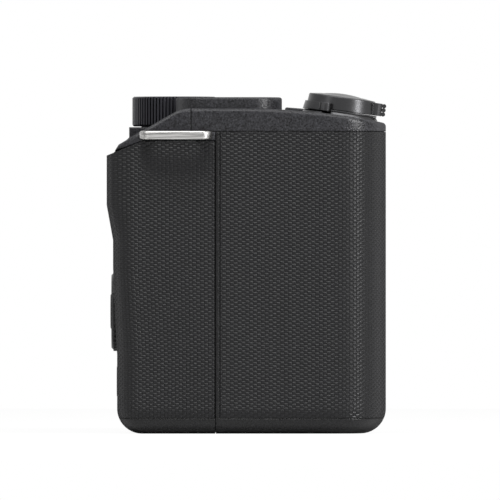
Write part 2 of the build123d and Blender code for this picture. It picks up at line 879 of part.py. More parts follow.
latch_high = door_low + latch_thickness - latch_proud
pocket_run = (latch_run[0] - clearance, latch_run[1] + clearance + latch_travel)
door -= plate_z(grown(latch_span, clearance), pocket_run, (-1, latch_high + 0.1), 0.8)
door_latch = plate_z(latch_span, latch_run, (door_low - latch_proud, latch_high), 0.7)
for k in range(latch_grooves):
    y = latch_y + (k - (latch_grooves - 1) / 2) * 1.1
    door_latch -= slab(grown(latch_span, -0.6), around(y, 0.5), (-1, door_low - latch_proud + 0.15))

# Base plate round the tripod bush.
base_plate = extrude(body_outline(base_inset + 0.1), base_thickness)
base_cut = extrude(Pos(0, 0, -1) * body_outline(base_inset), base_thickness + 1)
base_plate -= rod_z(0, 0, bush_radius, (-1, big))
tripod_bush = disc(bush_radius, 0, bush_height) - disc(tripod_radius, -1, bush_height - tripod_floor)
bush_cut = rod_z(0, 0, bush_radius, (-1, wall + 0.01))
front_cover -= base_cut + bush_cut
rear_cover -= base_cut + bush_cut
fasteners = []
base_head = base_thickness - 0.45
for x in (base_screw_x, left_side - base_inset - base_screw_edge):
    for y in (base_screw_y, base_screw_y + base_screw_step):
        head = rod_z(x, y, base_screw_radius, (clearance, base_head))
        head -= slab(around(x, 1.8), around(y, 0.32), (0, 0.4))
        head -= slab(around(x, 0.32), around(y, 1.8), (0, 0.4))
        fasteners.append(head + rod_z(x, y, base_shank_radius, (base_head, base_thickness)))
        base_plate -= rod_z(x, y, base_screw_radius, (-1, base_head))
        base_plate -= rod_z(x, y, base_shank_radius, (-1, big))

# Release button beside the mount, with the lock pin it draws back.
pin_place = on_mount(lock_pin_angle, mount_screw_circle)
release_foot = frame_front + 0.2
release_button = facing_front(release_x, release_foot + 0.5, release_z) * button(
    release_radius, 0, release_foot + 0.5 - front_face + release_rise, 0.5
)
front_cover -= rod_y(release_x, release_z, release_radius + clearance, (-big, frame_front + 0.01))
lock_pin = rod_y(*pin_place, lock_pin_radius, (flange_y - 0.8, arm_front + 0.1))
link = Pos((pin_place[0] + release_x) / 2, 0, (pin_place[1] + release_z) / 2)
link_length = hypot(pin_place[0] - release_x, pin_place[1] - release_z)
link_turn = degrees(asin((pin_place[0] - release_x) / link_length))
link_plate = plate_y(around(0, 3), (arm_front, arm_front + 0.8), around(0, link_length + 3), 1.4)
bar = Rot(0, link_turn, 0) * link_plate
lens_lock_pin = lock_pin + link * bar
pin_hole = rod_y(*pin_place, lock_pin_radius + clearance, (-big, frame_front + 0.01))
front_cover -= pin_hole
mount_ring -= pin_hole
front_lamp = rod_y(lamp_x, lamp_z, lamp_radius, (front_face - 0.15, frame_front))
front_cover -= rod_y(lamp_x, lamp_z, lamp_radius, (-big, frame_front + 0.01))

# Top: accessory shoe, microphone grille, control island and the board beneath.
shoe_x = around(0, shoe_width)
shoe_ends = around(shoe_y, shoe_length)
shoe_floor = body_height - shoe_sink
slot_run = (shoe_ends[0] + shoe_stop, big)
shoe_base = slab(shoe_x, shoe_ends, (body_height - wall, body_height + shoe_height))
shoe_base -= slab(around(0, shoe_slot), slot_run, (shoe_floor, shoe_floor + shoe_slot_height))
shoe_base -= slab(around(0, shoe_gap), slot_run, (shoe_floor, big))
corners = [e for e in shoe_base.edges().filter_by(Axis.Z) if abs(abs(e.center().X) - shoe_x[1]) < 0.01]
shoe_base = fillet(corners, 1.0)
insert_plan = (around(0, 10.4), (slot_run[0] + 1.4, shoe_ends[1] - 3.5))
insert_low = shoe_floor - 0.3
shoe_contacts = plate_z(*insert_plan, (insert_low, shoe_floor + 0.12), 0.6)
shoe_base -= plate_z(*insert_plan, (insert_low, big), 0.6)
for k in range(shoe_contact_count):
    x = (k - (shoe_contact_count - 1) / 2) * 1.9
    pad_y = (insert_plan[1][0] + 0.6, insert_plan[1][0] + 3.6)
    shoe_contacts += slab(around(x, 0.9), pad_y, (shoe_floor + 0.1, shoe_floor + 0.3))
top_cover -= slab(shoe_x, shoe_ends, (body_height - wall - 0.01, big))
top_cover -= slab(around(0, shoe_slot + 0.4), (shoe_ends[1] - 0.01, big), (shoe_floor, big))

mic_low = body_height - wall + 0.4
mic_plan = (around(mic_x, mic_width), around(mic_y, mic_length))
mic_grille = plate_z(*mic_plan, (mic_low, body_height + mic_rise), 3.0)
mic_grille = fillet(mic_grille.edges().group_by(Axis.Z)[-1], 0.5)
for k in range(mic_slots):
    x = mic_x + (k - (mic_slots - 1) / 2) * (mic_width - 5) / (mic_slots - 1)
    slot_z = (body_height + mic_rise - mic_recess, big)
    mic_grille -= plate_z(around(x, 0.9), grown(mic_plan[1], -2), slot_z, 0.44)
top_cover -= plate_z(*mic_plan, (mic_low, big), 3.0)
capsules = []
for x in (mic_x - 8, mic_x, mic_x + 8):
    capsules.append(rod_z(x, mic_y, 2.2, (mic_low - 2.6, mic_low)))
mic_capsules = Compound(children=capsules)
top_cover -= mic_capsules

island_x = (grip_side + island_inset, grip_side + island_inset + island_width)
island_top = body_height + island_height
island_low = body_height - wall + 0.2
control_island = plate_z(island_x, (island_front, island_rear), (island_low, island_top), island_round)
control_island = fillet(control_island.edges().group_by(Axis.Z)[-1], 0.5)
top_cover -= plate_z(island_x, (island_front, island_rear), (island_low, big), island_round)
rear_cover -= plate_z(island_x, (island_front, island_rear), (island_low, big), island_round)
island_mid = (island_x[0] + island_x[1]) / 2


def island_button(y, radius):
    """A button let into the island: its face is just below the island's."""
    foot = island_low + 0.6
    well = rod_z(island_mid, y, radius + clearance, (-big, big))
    well += rod_z(island_mid, y, radius + 0.6 + clearance, (-big, foot + 0.5 + clearance))
    part = Pos(island_mid, y, foot) * button(radius, 0, island_top - 0.2 - foot, 0.5)
    part += rod_z(island_mid, y, 1.0, (board_top + 0.7, foot + 0.1))
    return part, well


def slope_button(x, y, radius, rise):
    """A button on the forward slope of the top, square to it, and the hole it needs."""
    part = square_to_top(x, y) * Pos(0, 0, -wall - 0.8) * button(radius, 0, wall + 0.8 + rise, 0.5)
    stem = top_height(x, y) - wall - board_top - 1.5
    part += square_to_top(x, y) * disc(1.0, -wall - 0.8 - stem, -wall - 0.7)
    hole = square_to_top(x, y) * Cylinder(radius + clearance, 2 * wall + 2)
    return part, hole


board_top = body_height - 5.7
movie_button, movie_well = island_button(movie_y, 3.5)
mode_button, mode_well = island_button(mode_y, 2.6)
control_island -= movie_well + mode_well
island_hole = rod_z(island_mid, movie_y, 2.0, (board_top, island_low + 0.01))
island_hole += rod_z(island_mid, mode_y, 2.0, (board_top, island_low + 0.01))
top_cover -= island_hole
rear_cover -= island_hole
custom_button, custom_hole = slope_button(custom_x, custom_y, 2.7, 0.6)
top_cover -= custom_hole
board_plan = grip_outline(low_rear, wall + 1.6) & Pos(panel_x - 3.5 - big / 2, -3) * Rectangle(big, 36)
top_board = extrude(Pos(0, 0, board_top - board_thickness) * board_plan, board_thickness)
for x, y in ((island_mid, movie_y), (island_mid, mode_y), (custom_x, custom_y)):
    top_board += plate_z((x - 1.6, x + 1.6), (y - 1.6, y + 1.6), (board_top - 0.05, board_top + 0.2), 0.3)
for x, y in ((grip_side + 6, -11.5), (panel_x - 5, -4.5)):
    top_cover += rod_z(x, y, 1.3, (board_top, body_height - 1.5))

# Shoulder dial: ribs all round, chamfered off at both ends.
ribs = []
for k in range(dial_ribs):
    for part, depth in ((0.0, 0), (0.5, 0), (0.62, dial_rib_depth), (0.88, dial_rib_depth)):
        angle = 2 * pi * (k + part) / dial_ribs
        ribs.append(((dial_radius - depth) * cos(angle), (dial_radius - depth) * sin(angle)))
ribbed = extrude(make_face(Polyline(*ribs, close=True)), dial_height)
blank = disc(dial_radius, 0, dial_height)
blank = chamfer(blank.edges().filter_by(GeomType.CIRCLE), dial_edge)
control_dial = Pos(dial_x, dial_y, dial_z) * (ribbed & blank)
control_dial += rod_z(dial_x, dial_y, 2.4, (board_top + 0.3, dial_z + 0.1))
rear_cover -= rod_z(dial_x, dial_y, 2.4 + clearance, (board_top, big))
top_cover -= rod_z(dial_x, dial_y, 2.4 + clearance, (-big, shelf_z + 0.1))

# Shutter group, built round its own axis and then stood square to the top.
group = square_to_top(shutter_x, shutter_y)
plate_low = collar_height + 0.05
plate_high = plate_low + power_plate
zoom_low = plate_high + 0.1
zoom_high = zoom_low + zoom_height
collar = disc(collar_radius, -collar_sink, 0) + disc(post_radius, -collar_sink, post_top)
collar += cone(collar_radius, collar_radius - collar_flare, 0, collar_height)
collar -= disc(shutter_stem_radius + clearance, -10, 10)
shutter_collar = group * collar
top_cover -= group * disc(collar_radius, -collar_sink, 10)
top_cover -= group * disc(shutter_stem_radius + clearance, -10, 10)
lever = disc(power_radius_top, plate_low, plate_high)
lever_z = (plate_low, plate_low + power_height)
flare = cone(power_radius_foot, power_radius_top, *lever_z)
lever += flare & sector(0.1, 12, 62, power_tab_angle + 8, lever_z)
power_tab = plate_z((power_radius_top - 0.6, power_tab_reach), around(0, power_tab_width), lever_z, 0.8)
lever += Rot(0, 0, power_tab_angle) * power_tab
lever -= disc(zoom_radius_foot + clearance, plate_high, 10)
lever -= disc(post_radius + clearance, -10, 10)
power_lever = group * lever
zoom = cone(zoom_radius_foot, zoom_radius_top, 0, zoom_height)
zoom = fillet(zoom.edges().sort_by(Axis.Z)[-1], zoom_edge)
crown_edge = zoom_radius_top - zoom_edge
zoom += cone(crown_edge, shutter_button_radius + clearance, zoom_height, zoom_height + zoom_crown)
rib_y = zoom_rib_radius - zoom_tab_reach
tab_high = zoom_height - zoom_tab_drop
tab_run = (rib_y + zoom_rib_radius * 0.8, -zoom_radius_top + 1.2)
tab = plate_z(around(0, zoom_tab_width), tab_run, (0, tab_high), 1.2)
for k in range(zoom_ribs):
    rib_z = zoom_rib_radius + (tab_high - 2 * zoom_rib_radius) * k / (zoom_ribs - 1)
    tab += rod_x(rib_y, rib_z, zoom_rib_radius, around(0, zoom_tab_width - 2.4))
zoom = Pos(0, 0, zoom_low) * (zoom + tab)
zoom -= disc(shutter_button_radius + clearance, zoom_low + 0.5, 10)
zoom -= disc(post_radius + clearance, -10, 10)
zoom_lever = group * zoom
cap_low = post_top + shutter_travel + 0.1
cap_high = zoom_high + zoom_crown - 0.05
release = disc(shutter_button_radius, cap_low, cap_high)
ball = (shutter_button_radius**2 + shutter_button_rise**2) / (2 * shutter_button_rise)
dome = Pos(0, 0, cap_high + shutter_button_rise - ball) * Sphere(ball)
release += dome & disc(shutter_button_radius, cap_high - 0.1, cap_high + 4)
stem_low = -top_height(shutter_x, shutter_y) + board_top + 1.3
release += disc(shutter_stem_radius, stem_low, cap_low + 0.2)
shutter_button = group * release

# Rear: a ribbed wheel with a button in its middle, and four more buttons.
wheel_floor = panel_reach - wheel_depth
wheel_face = panel_reach + wheel_proud
sleeve = wheel_hole + 0.7
wheel_points = []
for k in range(wheel_ridges):
    for part, depth in ((0.0, 0), (0.45, 0), (0.55, wheel_ridge_depth), (0.9, wheel_ridge_depth)):
        angle = 2 * pi * (k + part) / wheel_ridges
        wheel_points.append(((wheel_radius - depth) * cos(angle), (wheel_radius - depth) * sin(angle)))
wheel_height = wheel_face - wheel_floor
wheel = extrude(make_face(Polyline(*wheel_points, close=True)), wheel_height - clearance - 0.4)
wheel_top = disc(wheel_radius - wheel_ridge_depth, 0, wheel_height - clearance)
wheel_top = chamfer(wheel_top.edges().sort_by(Axis.Z)[-1], 0.35)
wheel = Pos(0, 0, clearance) * (wheel + wheel_top)
wheel += disc(sleeve, -1.4, 0.6)
wheel -= disc(wheel_hole, -10, 10)
wheel -= disc(wheel_radius - 1.6, wheel_height - 0.45, 10) - disc(wheel_hole + 0.6, wheel_height - 0.45, 10)
control_wheel = facing_rear(wheel_x, wheel_floor, wheel_z) * wheel
rear_cover -= rod_y(wheel_x, wheel_z, wheel_radius + 0.3, (wheel_floor, big))
rear_cover -= rod_y(wheel_x, wheel_z, sleeve + clearance, (panel_reach - 5, big))
board_rear_face = panel_reach - switch_board_depth
rear_switch_board = plate_y(
    (wheel_x - wheel_radius - 1.2, panel_x - wall - 0.5),
    (board_rear_face - board_thickness, board_rear_face),
    grown((low_controls_z, menu_z), rear_button_radius + rear_flange),
    1.0,
)
press_low = board_rear_face + 0.7
centre_cap = disc(wheel_hole - clearance, 0, wheel_face + 0.2 - press_low)
centre_cap = fillet(centre_cap.edges().sort_by(Axis.Z)[-1], 0.3)
centre_button = facing_rear(wheel_x, press_low, wheel_z) * centre_cap
rear_buttons = {
    "menu_button": (menu_x, menu_z),
    "function_button": (function_x, function_z),
    "playback_button": (playback_x, low_controls_z),
    "delete_button": (delete_x, low_controls_z),
}
rear_parts = {}
for node, place in rear_buttons.items():
    face = panel_reach + rear_button_rise
    if place[1] < panel_lean_end:
        face -= panel_lean
    cap = button(rear_button_radius, 0, face - press_low, 0.4)
    rear_parts[node] = facing_rear(place[0], press_low, place[1]) * cap
    rear_cover -= rod_y(*place, rear_button_radius + clearance, (panel_reach - 5, big))
for x, z in ((panel_x - 4.2, wheel_z + 5.1), (wheel_x - 6.5, menu_z - 5.5)):
    rear_cover += rod_y(x, z, 1.2, (board_rear_face, panel_reach - wall + 0.2))

# Monitor, its hinge arm and the bracket it turns in.
tray = plate_y((monitor_right, monitor_left), (monitor_front, monitor_rear), (monitor_low, monitor_high), 2.2)
tray = chamfer(tray.edges().group_by(Axis.Y)[-1] + tray.edges().group_by(Axis.Y)[0], 0.6)
screen_x = grown((monitor_right, monitor_left), -monitor_edge)
screen_z = grown((monitor_low, monitor_high), -monitor_edge)
tray -= plate_y(screen_x, (monitor_rear - glass_recess, big), screen_z, 1.4)
monitor_glass = plate_y(screen_x, (monitor_rear - glass_recess, monitor_rear - 0.15), screen_z, 1.4)
arm_z_range = around(lens_z, arm_height)
arm = slab((monitor_left + 0.3, pin_x), around(pin_y, 2 * knuckle_radius), arm_z_range)
arm += rod_z(pin_x, pin_y, knuckle_radius, arm_z_range)
arm = fillet([e for e in arm.edges().filter_by(Axis.Z) if e.center().X < monitor_left + 0.4], 0.8)
arm -= rod_z(pin_x, pin_y, pin_radius + 0.08, (-big, big))
shaft = rod_x(pin_y, lens_z, tilt_shaft_radius, (monitor_left - 4, monitor_left + 0.5))
tray -= rod_x(pin_y, lens_z, tilt_shaft_radius, (monitor_left - 4, big))
hinge_arm = arm + shaft
monitor_tray = tray
bracket = rod_z(pin_x, pin_y, pin_radius, grown(arm_z_range, knuckle_height))
for low in (arm_z_range[0] - knuckle_height, arm_z_range[1] + 0.15):
    high = low + knuckle_height - 0.15
    bracket += rod_z(pin_x, pin_y, knuckle_radius, (low, high))
    bracket += slab(around(pin_x, 3), (bay_floor, pin_y), (low, high))
hinge_bracket = bracket

# Ports on the left end, each behind its own door.
def port_door(low, high):
    """A door let into the side, turning on its front edge."""
    axis_x = left_side - port_door_thickness / 2
    heights = (low, high)
    thickness = (left_side - port_door_thickness, left_side)
    part = plate_x(thickness, (port_hinge_y, port_door_rear), heights, 0.6)
    part -= slab((left_side - 2, big), (-big, port_hinge_y + 0.7), (-big, big))
    part += slab(thickness, (port_hinge_y, port_hinge_y + 1.5), heights)
    part += rod_z(axis_x, port_hinge_y, port_door_thickness / 2, heights)
    part += rod_z(axis_x, port_hinge_y, 0.25, grown(heights, 0.7))
    opening = grown((port_hinge_y - port_door_thickness / 2, port_door_rear), clearance)
    cut = slab((thickness[0] - clearance, big), opening, grown(heights, clearance))
    cut += rod_z(axis_x, port_hinge_y, 0.33, grown(heights, 0.8))
    return part, cut


mic_port_door, mic_cut = port_door(*around(mic_jack_z, 10.4))
data_port_door, data_cut = port_door(*grown((hdmi_z, phones_jack_z), 5.0))
port_face = left_side - port_door_thickness - clearance
jacks = []
for z in (mic_jack_z, phones_jack_z):
    body_x = (port_face - 9, left_side - wall - clearance)
    body = slab(body_x, (port_y - jack_body_radius, main_board_y), around(z, 5.2))
    body += rod_x(port_y, z, jack_body_radius, (port_face - 2, port_face))
    body -= rod_x(port_y, z, jack_radius, (port_face - 8, big))
    jacks.append(body)
audio_jacks = Compound(children=jacks)
usb_shell = (around(port_y, usb_width), around(usb_z, usb_length))
hdmi_shell = (around(port_y, hdmi_width), around(hdmi_z, hdmi_length))
shell_x = (port_face - 7, port_face)
tongue_x = (port_face - 6.5, port_face - 0.8)
usb = plate_x(shell_x, *usb_shell, 1.55)
usb -= plate_x((port_face - 6, big), *(grown(limits, -port_metal) for limits in usb_shell), 1.25)
usb += plate_x(tongue_x, around(port_y, 0.7), around(usb_z, 6.6), 0.2)
hdmi = plate_x(shell_x, *hdmi_shell, 0.8)
hdmi -= plate_x((port_face - 6, big), *(grown(limits, -port_metal) for limits in hdmi_shell), 0.5)
hdmi += plate_x(tongue_x, around(port_y, 0.6), around(hdmi_z, 4.6), 0.2)
foot_x = (port_face - 7, port_face - 3)
usb += slab(foot_x, (usb_shell[0][1] - 0.1, main_board_y), around(usb_z, 6))
hdmi += slab(foot_x, (hdmi_shell[0][1] - 0.1, main_board_y), around(hdmi_z, 5.2))
data_ports = Compound(children=[usb, hdmi])
hole_x = (left_side - 6, big)
port_holes = plate_x(hole_x, *usb_shell, 1.55) + plate_x(hole_x, *hdmi_shell, 0.8)
for z in (mic_jack_z, phones_jack_z):
    port_holes += rod_x(port_y, z, jack_body_radius, hole_x)
for cut in (mic_cut, data_cut, port_holes):
    front_cover -= cut
    rear_cover -= cut
cover_screws = Compound(children=fasteners)

nodes = {
    "front_cover": front_cover,
    "rear_cover": rear_cover,
    "top_cover": top_cover,
    "base_plate": base_plate,
    "grip_skin": grip_skin,
    "thumb_skin": thumb_skin,
    "mount_ring": mount_ring,
    "mount_screws": mount_screws,
    "mount_spring": mount_spring,
    "mount_frame": mount_frame,
    "light_baffle": light_baffle,
    "contact_block": contact_block,
    "contact_pins": contact_pins,
    "sensor_glass": sensor_glass,
    "sensor_package": sensor_package,
    "sensor_plate": sensor_plate,
    "main_board": main_board,
    "shoe_base": shoe_base,
    "shoe_contacts": shoe_contacts,
    "mic_grille": mic_grille,
    "mic_capsules": mic_capsules,
    "strap_lug_right": strap_lug_right,
    "strap_lug_left": strap_lug_left,
    "tripod_bush": tripod_bush,
    "battery_box": battery_box,
    "battery_pack": battery_pack,
    "card_socket": card_socket,
    "memory_card": memory_card,
    "top_board": top_board,
    "control_island": control_island,
    "shutter_collar": shutter_collar,
    "audio_jacks": audio_jacks,
    "data_ports": data_ports,
    "front_lamp": front_lamp,
    "cover_screws": cover_screws,
    "hinge_bracket": hinge_bracket,
    "rear_switch_board": rear_switch_board,
    "shutter_button": shutter_button,
    "zoom_lever": zoom_lever,
    "power_lever": power_lever,
    "movie_button": movie_button,
    "mode_button": mode_button,
    "custom_button": custom_button,
    "control_dial": control_dial,
    "control_wheel": control_wheel,
    "centre_button": centre_button,
    "hinge_arm": hinge_arm,
    "monitor_tray": monitor_tray,
    "monitor_glass": monitor_glass,
    "battery_door": door,
    "door_latch": door_latch,
    "mic_port_door": mic_port_door,
    "data_port_door": data_port_door,
    "release_button": release_button,
    "lens_lock_pin": lens_lock_pin,
}
nodes.update(rear_parts)
for node, shape in nodes.items():
    save(node, shape)
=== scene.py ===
# Mirrorless camera body, dressed for its photograph: level view from the grip side, white studio ground.
# The file follows the camera as it is put together: covers, mount and insides, rubber skins, controls,
# monitor, underside, microphone gauze, then the studio. Lengths are metres, but a finish's pitch, the
# lattice of pads and names with mm are millimetres. -X is the grip side, -Y the lens side and +Z up.
from math import atan2, cos, floor, hypot, pi, radians, sin, sqrt, tan

import bmesh
import bpy
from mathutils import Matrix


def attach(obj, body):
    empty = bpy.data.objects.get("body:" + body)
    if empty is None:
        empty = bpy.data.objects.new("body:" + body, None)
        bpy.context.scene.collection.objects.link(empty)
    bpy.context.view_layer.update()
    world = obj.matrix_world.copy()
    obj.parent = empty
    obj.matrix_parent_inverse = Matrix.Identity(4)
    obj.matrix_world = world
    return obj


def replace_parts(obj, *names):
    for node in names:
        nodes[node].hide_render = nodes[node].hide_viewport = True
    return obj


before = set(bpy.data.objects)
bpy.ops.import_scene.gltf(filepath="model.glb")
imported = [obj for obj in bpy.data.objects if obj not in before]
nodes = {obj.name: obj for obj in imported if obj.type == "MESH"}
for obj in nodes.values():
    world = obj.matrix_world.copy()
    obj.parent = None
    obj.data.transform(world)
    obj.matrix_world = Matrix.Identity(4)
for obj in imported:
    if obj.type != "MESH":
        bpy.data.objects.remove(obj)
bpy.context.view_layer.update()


# Covers, base plate, island with its buttons, microphone grille, monitor tray and arm, and the doors.
# Glass-filled ABS, injection moulded in spark-eroded moulds, so the skin is an even matt grain
# with soft edges that catch the light. The pieces screw together along fine seams.
def linear(code):
    """A colour written as sRGB hex, turned linear."""
    parts = [int(code[k:k + 2], 16) / 255 for k in (0, 2, 4)]
    return [p / 12.92 if p <= 0.04045 else ((p + 0.055) / 1.055) ** 2.4 for p in parts] + [1.0]


def add(material, kind, settings, links):
    """Adds one node: settings fill its properties or sockets, links join sockets to (node, output)."""
    tree = material.node_tree
    node = tree.nodes.new(kind)
    for name, value in settings.items():
        if isinstance(name, str) and hasattr(node, name):
            setattr(node, name, value)
        else:
            node.inputs[name].default_value = value
    for name, (source, output) in links.items():
        tree.links.new(source.outputs[output], node.inputs[name])
    return node


def join(material, source, output, target, socket):
    """Links an output to a socket of a node that is there already."""
    material.node_tree.links.new(source.outputs[output], target.inputs[socket])


def surface(name, settings):
    """A material with its Principled shader, the shader's own sockets set by name."""
    material = bpy.data.materials.new(name)
    material.use_nodes = True
    shader = material.node_tree.nodes["Principled BSDF"]
    for socket, value in settings.items():
        shader.inputs[socket].default_value = value
    return material, shader


def per_mm(pitch):
    """Texture scale that gives one feature for each pitch, in millimetres."""
    return 1000.0 / pitch


def dress(material, *names):
    """Gives CAD nodes their material."""
    for name in names:
        for slot in nodes[name].material_slots:
            slot.material = material


def duller_edge_on(material, sheen, shader):
    """Roughness from a sheen node, raised where the surface turns away, as on a grained or rubbery skin."""
    turned = add(material, "ShaderNodeLayerWeight", {"Blend": 0.5}, {})
    extra = add(material, "ShaderNodeMapRange", {
        "From Min": 0.38, "From Max": 0.75, "To Min": 0.0, "To Max": 0.5,
    }, {"Value": (turned, "Facing")})
    total = add(material, "ShaderNodeMath", {
        "operation": "ADD",
    }, {0: (sheen, "Result"), 1: (extra, "Result")})
    join(material, total, "Value", shader, "Roughness")


# The paler tone above a height is partly the sprayed coat and partly painted light on the upper parts.
coat_and_lit_tone, coat_blend = "242427", 0.0004


def moulded_abs(name, dark, light, paler_above=None):
    """Spark-eroded ABS between two shades; above a height it is paler, partly sprayed coat and partly painted
    light.
    """
    material, shader = surface(name, {"Roughness": 0.3, "IOR": 1.53, "Specular IOR Level": 0.2})
    place = add(material, "ShaderNodeTexCoord", {}, {})
    cloud = add(material, "ShaderNodeTexNoise", {
        "Scale": per_mm(9.0), "Detail": 3.0,
    }, {"Vector": (place, "Object")})
    tint = add(material, "ShaderNodeMix", {
        "data_type": "RGBA", 6: linear(dark), 7: linear(light),
    }, {0: (cloud, "Fac")})
    if paler_above is not None:
        split = add(material, "ShaderNodeSeparateXYZ", {}, {"Vector": (place, "Object")})
        above = add(material, "ShaderNodeMapRange", {
            "From Min": paler_above - coat_blend, "From Max": paler_above + coat_blend,
        }, {"Value": (split, "Z")})
        tint = add(material, "ShaderNodeMix", {
            "data_type": "RGBA", 7: linear(coat_and_lit_tone),
        }, {0: (above, "Result"), 6: (tint, 2)})
    # Grain pits 0.2 mm across are drawn 0.32 mm apart, so that they show; pits get painted shade, rises
    # painted highlight.
    grain = add(material, "ShaderNodeTexNoise", {
        "Scale": per_mm(0.32), "Detail": 2.0, "Roughness": 0.5,
    }, {"Vector": (place, "Object")})
    # Painted shade in the grain's pits and painted highlight on its rises, multiplied into the colour.
    shade = add(material, "ShaderNodeMapRange", {
        "From Min": 0.3, "From Max": 0.7, "To Min": 0.1, "To Max": 1.9,
    }, {"Value": (grain, "Fac")})
    painted_grain_shading = add(material, "ShaderNodeMix", {
        "data_type": "RGBA", "blend_type": "MULTIPLY", 0: 1.0,
    }, {6: (tint, 2), 7: (shade, "Result")})
    join(material, painted_grain_shading, 2, shader, "Base Color")
    sheen = add(material, "ShaderNodeMapRange", {
        "From Min": 0.3, "From Max": 0.7, "To Min": 0.18, "To Max": 0.28,
    }, {"Value": (grain, "Fac")})
    duller_edge_on(material, sheen, shader)
    edge = add(material, "ShaderNodeBevel", {"samples": 4, "Radius": 0.0006}, {})
    relief = add(material, "ShaderNodeBump", {
        "Distance": 0.00005,
    }, {"Height": (grain, "Fac"), "Normal": (edge, "Normal")})
    join(material, relief, "Normal", shader, "Normal")
    return material


# The sprayed parts are paler and the bare ones darker: partly two finishes, partly painted light and painted
# shade.
dress(
    moulded_abs("glass_filled_abs_sprayed", "212123", "28282B"),
    "top_cover", "mic_grille", "control_island", "movie_button", "mode_button", "custom_button",
)
# The darker bare tone is partly painted shade on the strip between the skins, which is flush here.
dress(
    moulded_abs("glass_filled_abs_spark_eroded", "0E0E0F", "151516"),
    "front_cover", "base_plate", "hinge_arm", "monitor_tray", "battery_door", "mic_port_door",
    "data_port_door",
)
# The rear cover is bare too, but its shoulder and dial shelf are paler: partly sprayed with the top cover,
# partly painted light.
dress(moulded_abs("glass_filled_abs_part_sprayed", "0E0E0F", "151516", paler_above=0.0560), "rear_cover")


# Screws of the lens mount, and the sprung pin that locks a lens.
# Stainless steel, turned and then bead-blasted to a satin that blurs what it reflects.
def mottled(
    name, settings, pitch, detail, shades, streak=None, spread=None, sheen=None, depth=None, edge=None,
):
    """A material whose shade, roughness and relief follow one noise, with its pitch in mm.

    A drawn or brushed finish has its streak in mm along y. spread is the part of the noise that runs from
    one shade to the other, sheen the range of roughness, depth the relief, and edge the round of edges.
    """
    material, shader = surface(name, settings)
    place = add(material, "ShaderNodeTexCoord", {}, {})
    drawn = add(material, "ShaderNodeMapping", {
        "Scale": (per_mm(pitch), per_mm(streak or pitch), per_mm(pitch)),
    }, {"Vector": (place, "Object")})
    noise = add(material, "ShaderNodeTexNoise", {
        "Scale": 1.0, "Detail": detail,
    }, {"Vector": (drawn, "Vector")})
    share = (noise, "Fac")
    if spread:
        ramp = add(material, "ShaderNodeMapRange", {
            "From Min": spread[0], "From Max": spread[1],
        }, {"Value": share})
        share = (ramp, "Result")
    tint = add(material, "ShaderNodeMix", {
        "data_type": "RGBA", 6: linear(shades[0]), 7: linear(shades[1]),
    }, {0: share})
    join(material, tint, 2, shader, "Base Color")
    if sheen:
        gloss = add(material, "ShaderNodeMapRange", {
            "To Min": sheen[0], "To Max": sheen[1],
        }, {"Value": (noise, "Fac")})
        join(material, gloss, "Result", shader, "Roughness")
    if depth:
        relief = add(material, "ShaderNodeBump", {"Distance": depth}, {"Height": (noise, "Fac")})
        join(material, relief, "Normal", shader, "Normal")
        if edge:
            rounded = add(material, "ShaderNodeBevel", {"samples": 4, "Radius": edge}, {})
            join(material, rounded, "Normal", relief, "Normal")
    return material


satin_steel = mottled(
    "stainless_steel_satin", {"Metallic": 1.0, "Roughness": 0.32},
    pitch=0.5, detail=3.0, shades=("A9A8A6", "C2C1BF"), sheen=(0.26, 0.44), depth=0.000003,
)
dress(satin_steel, "mount_screws", "lens_lock_pin")

# Strap lugs, one let into each side and held between the covers.
# Stainless steel, stamped from strip, tumbled round and brushed lengthwise: streaks of pale and mid grey
# along the side, and bright ends where the round turns to the lamps.
dress(mottled(
    "stainless_steel_stamped", {"Metallic": 1.0, "Roughness": 0.25},
    pitch=0.4, streak=9.0, detail=2.0, shades=("7E7D7C", "B9B8B6"), spread=(0.35, 0.65),
    sheen=(0.2, 0.34), depth=0.000012,
), "strap_lug_right", "strap_lug_left")

# Lens mount ring, held by four screws.
# Stainless steel, turned on its face, so it keeps fine rings from the tool that streak its reflections.
lens_z = 0.0320
turned_steel, shader = surface("stainless_steel_turned", {"Metallic": 1.0, "Roughness": 0.25})
place = add(turned_steel, "ShaderNodeTexCoord", {}, {})
centred = add(turned_steel, "ShaderNodeVectorMath", {
    "operation": "SUBTRACT", 1: (0.0, 0.0, lens_z),
}, {0: (place, "Object")})
flat = add(turned_steel, "ShaderNodeVectorMath", {
    "operation": "MULTIPLY", 1: (1.0, 0.0, 1.0),
}, {0: (centred, "Vector")})
reach = add(turned_steel, "ShaderNodeVectorMath", {"operation": "LENGTH"}, {0: (flat, "Vector")})
# Turning lines 0.12 mm apart are drawn 0.25 mm apart, so that they show at this size.
lines = add(turned_steel, "ShaderNodeTexNoise", {
    "noise_dimensions": "1D", "Scale": per_mm(0.25), "Detail": 2.0,
}, {"W": (reach, "Value")})
tint = add(turned_steel, "ShaderNodeMix", {
    "data_type": "RGBA", 6: linear("9C9B99"), 7: linear("C9C8C6"),
}, {0: (lines, "Fac")})
join(turned_steel, tint, 2, shader, "Base Color")
sheen = add(turned_steel, "ShaderNodeMapRange", {"To Min": 0.18, "To Max": 0.36}, {"Value": (lines, "Fac")})
join(turned_steel, sheen, "Result", shader, "Roughness")
relief = add(turned_steel, "ShaderNodeBump", {"Distance": 0.000004}, {"Height": (lines, "Fac")})
join(turned_steel, relief, "Normal", shader, "Normal")
dress(turned_steel, "mount_ring")

# Spring behind the ring, card socket and shells of the data ports.
# Spring steel, cold-rolled strip: smoother than the stamped steel, with faint rolling streaks.
dress(mottled(
    "spring_steel_rolled", {"Metallic": 1.0, "Roughness": 0.28},
    pitch=0.2, streak=4.0, detail=2.0, shades=("8E8F92", "B4B5B8"), sheen=(0.2, 0.38),
), "mount_spring", "card_socket", "data_ports")


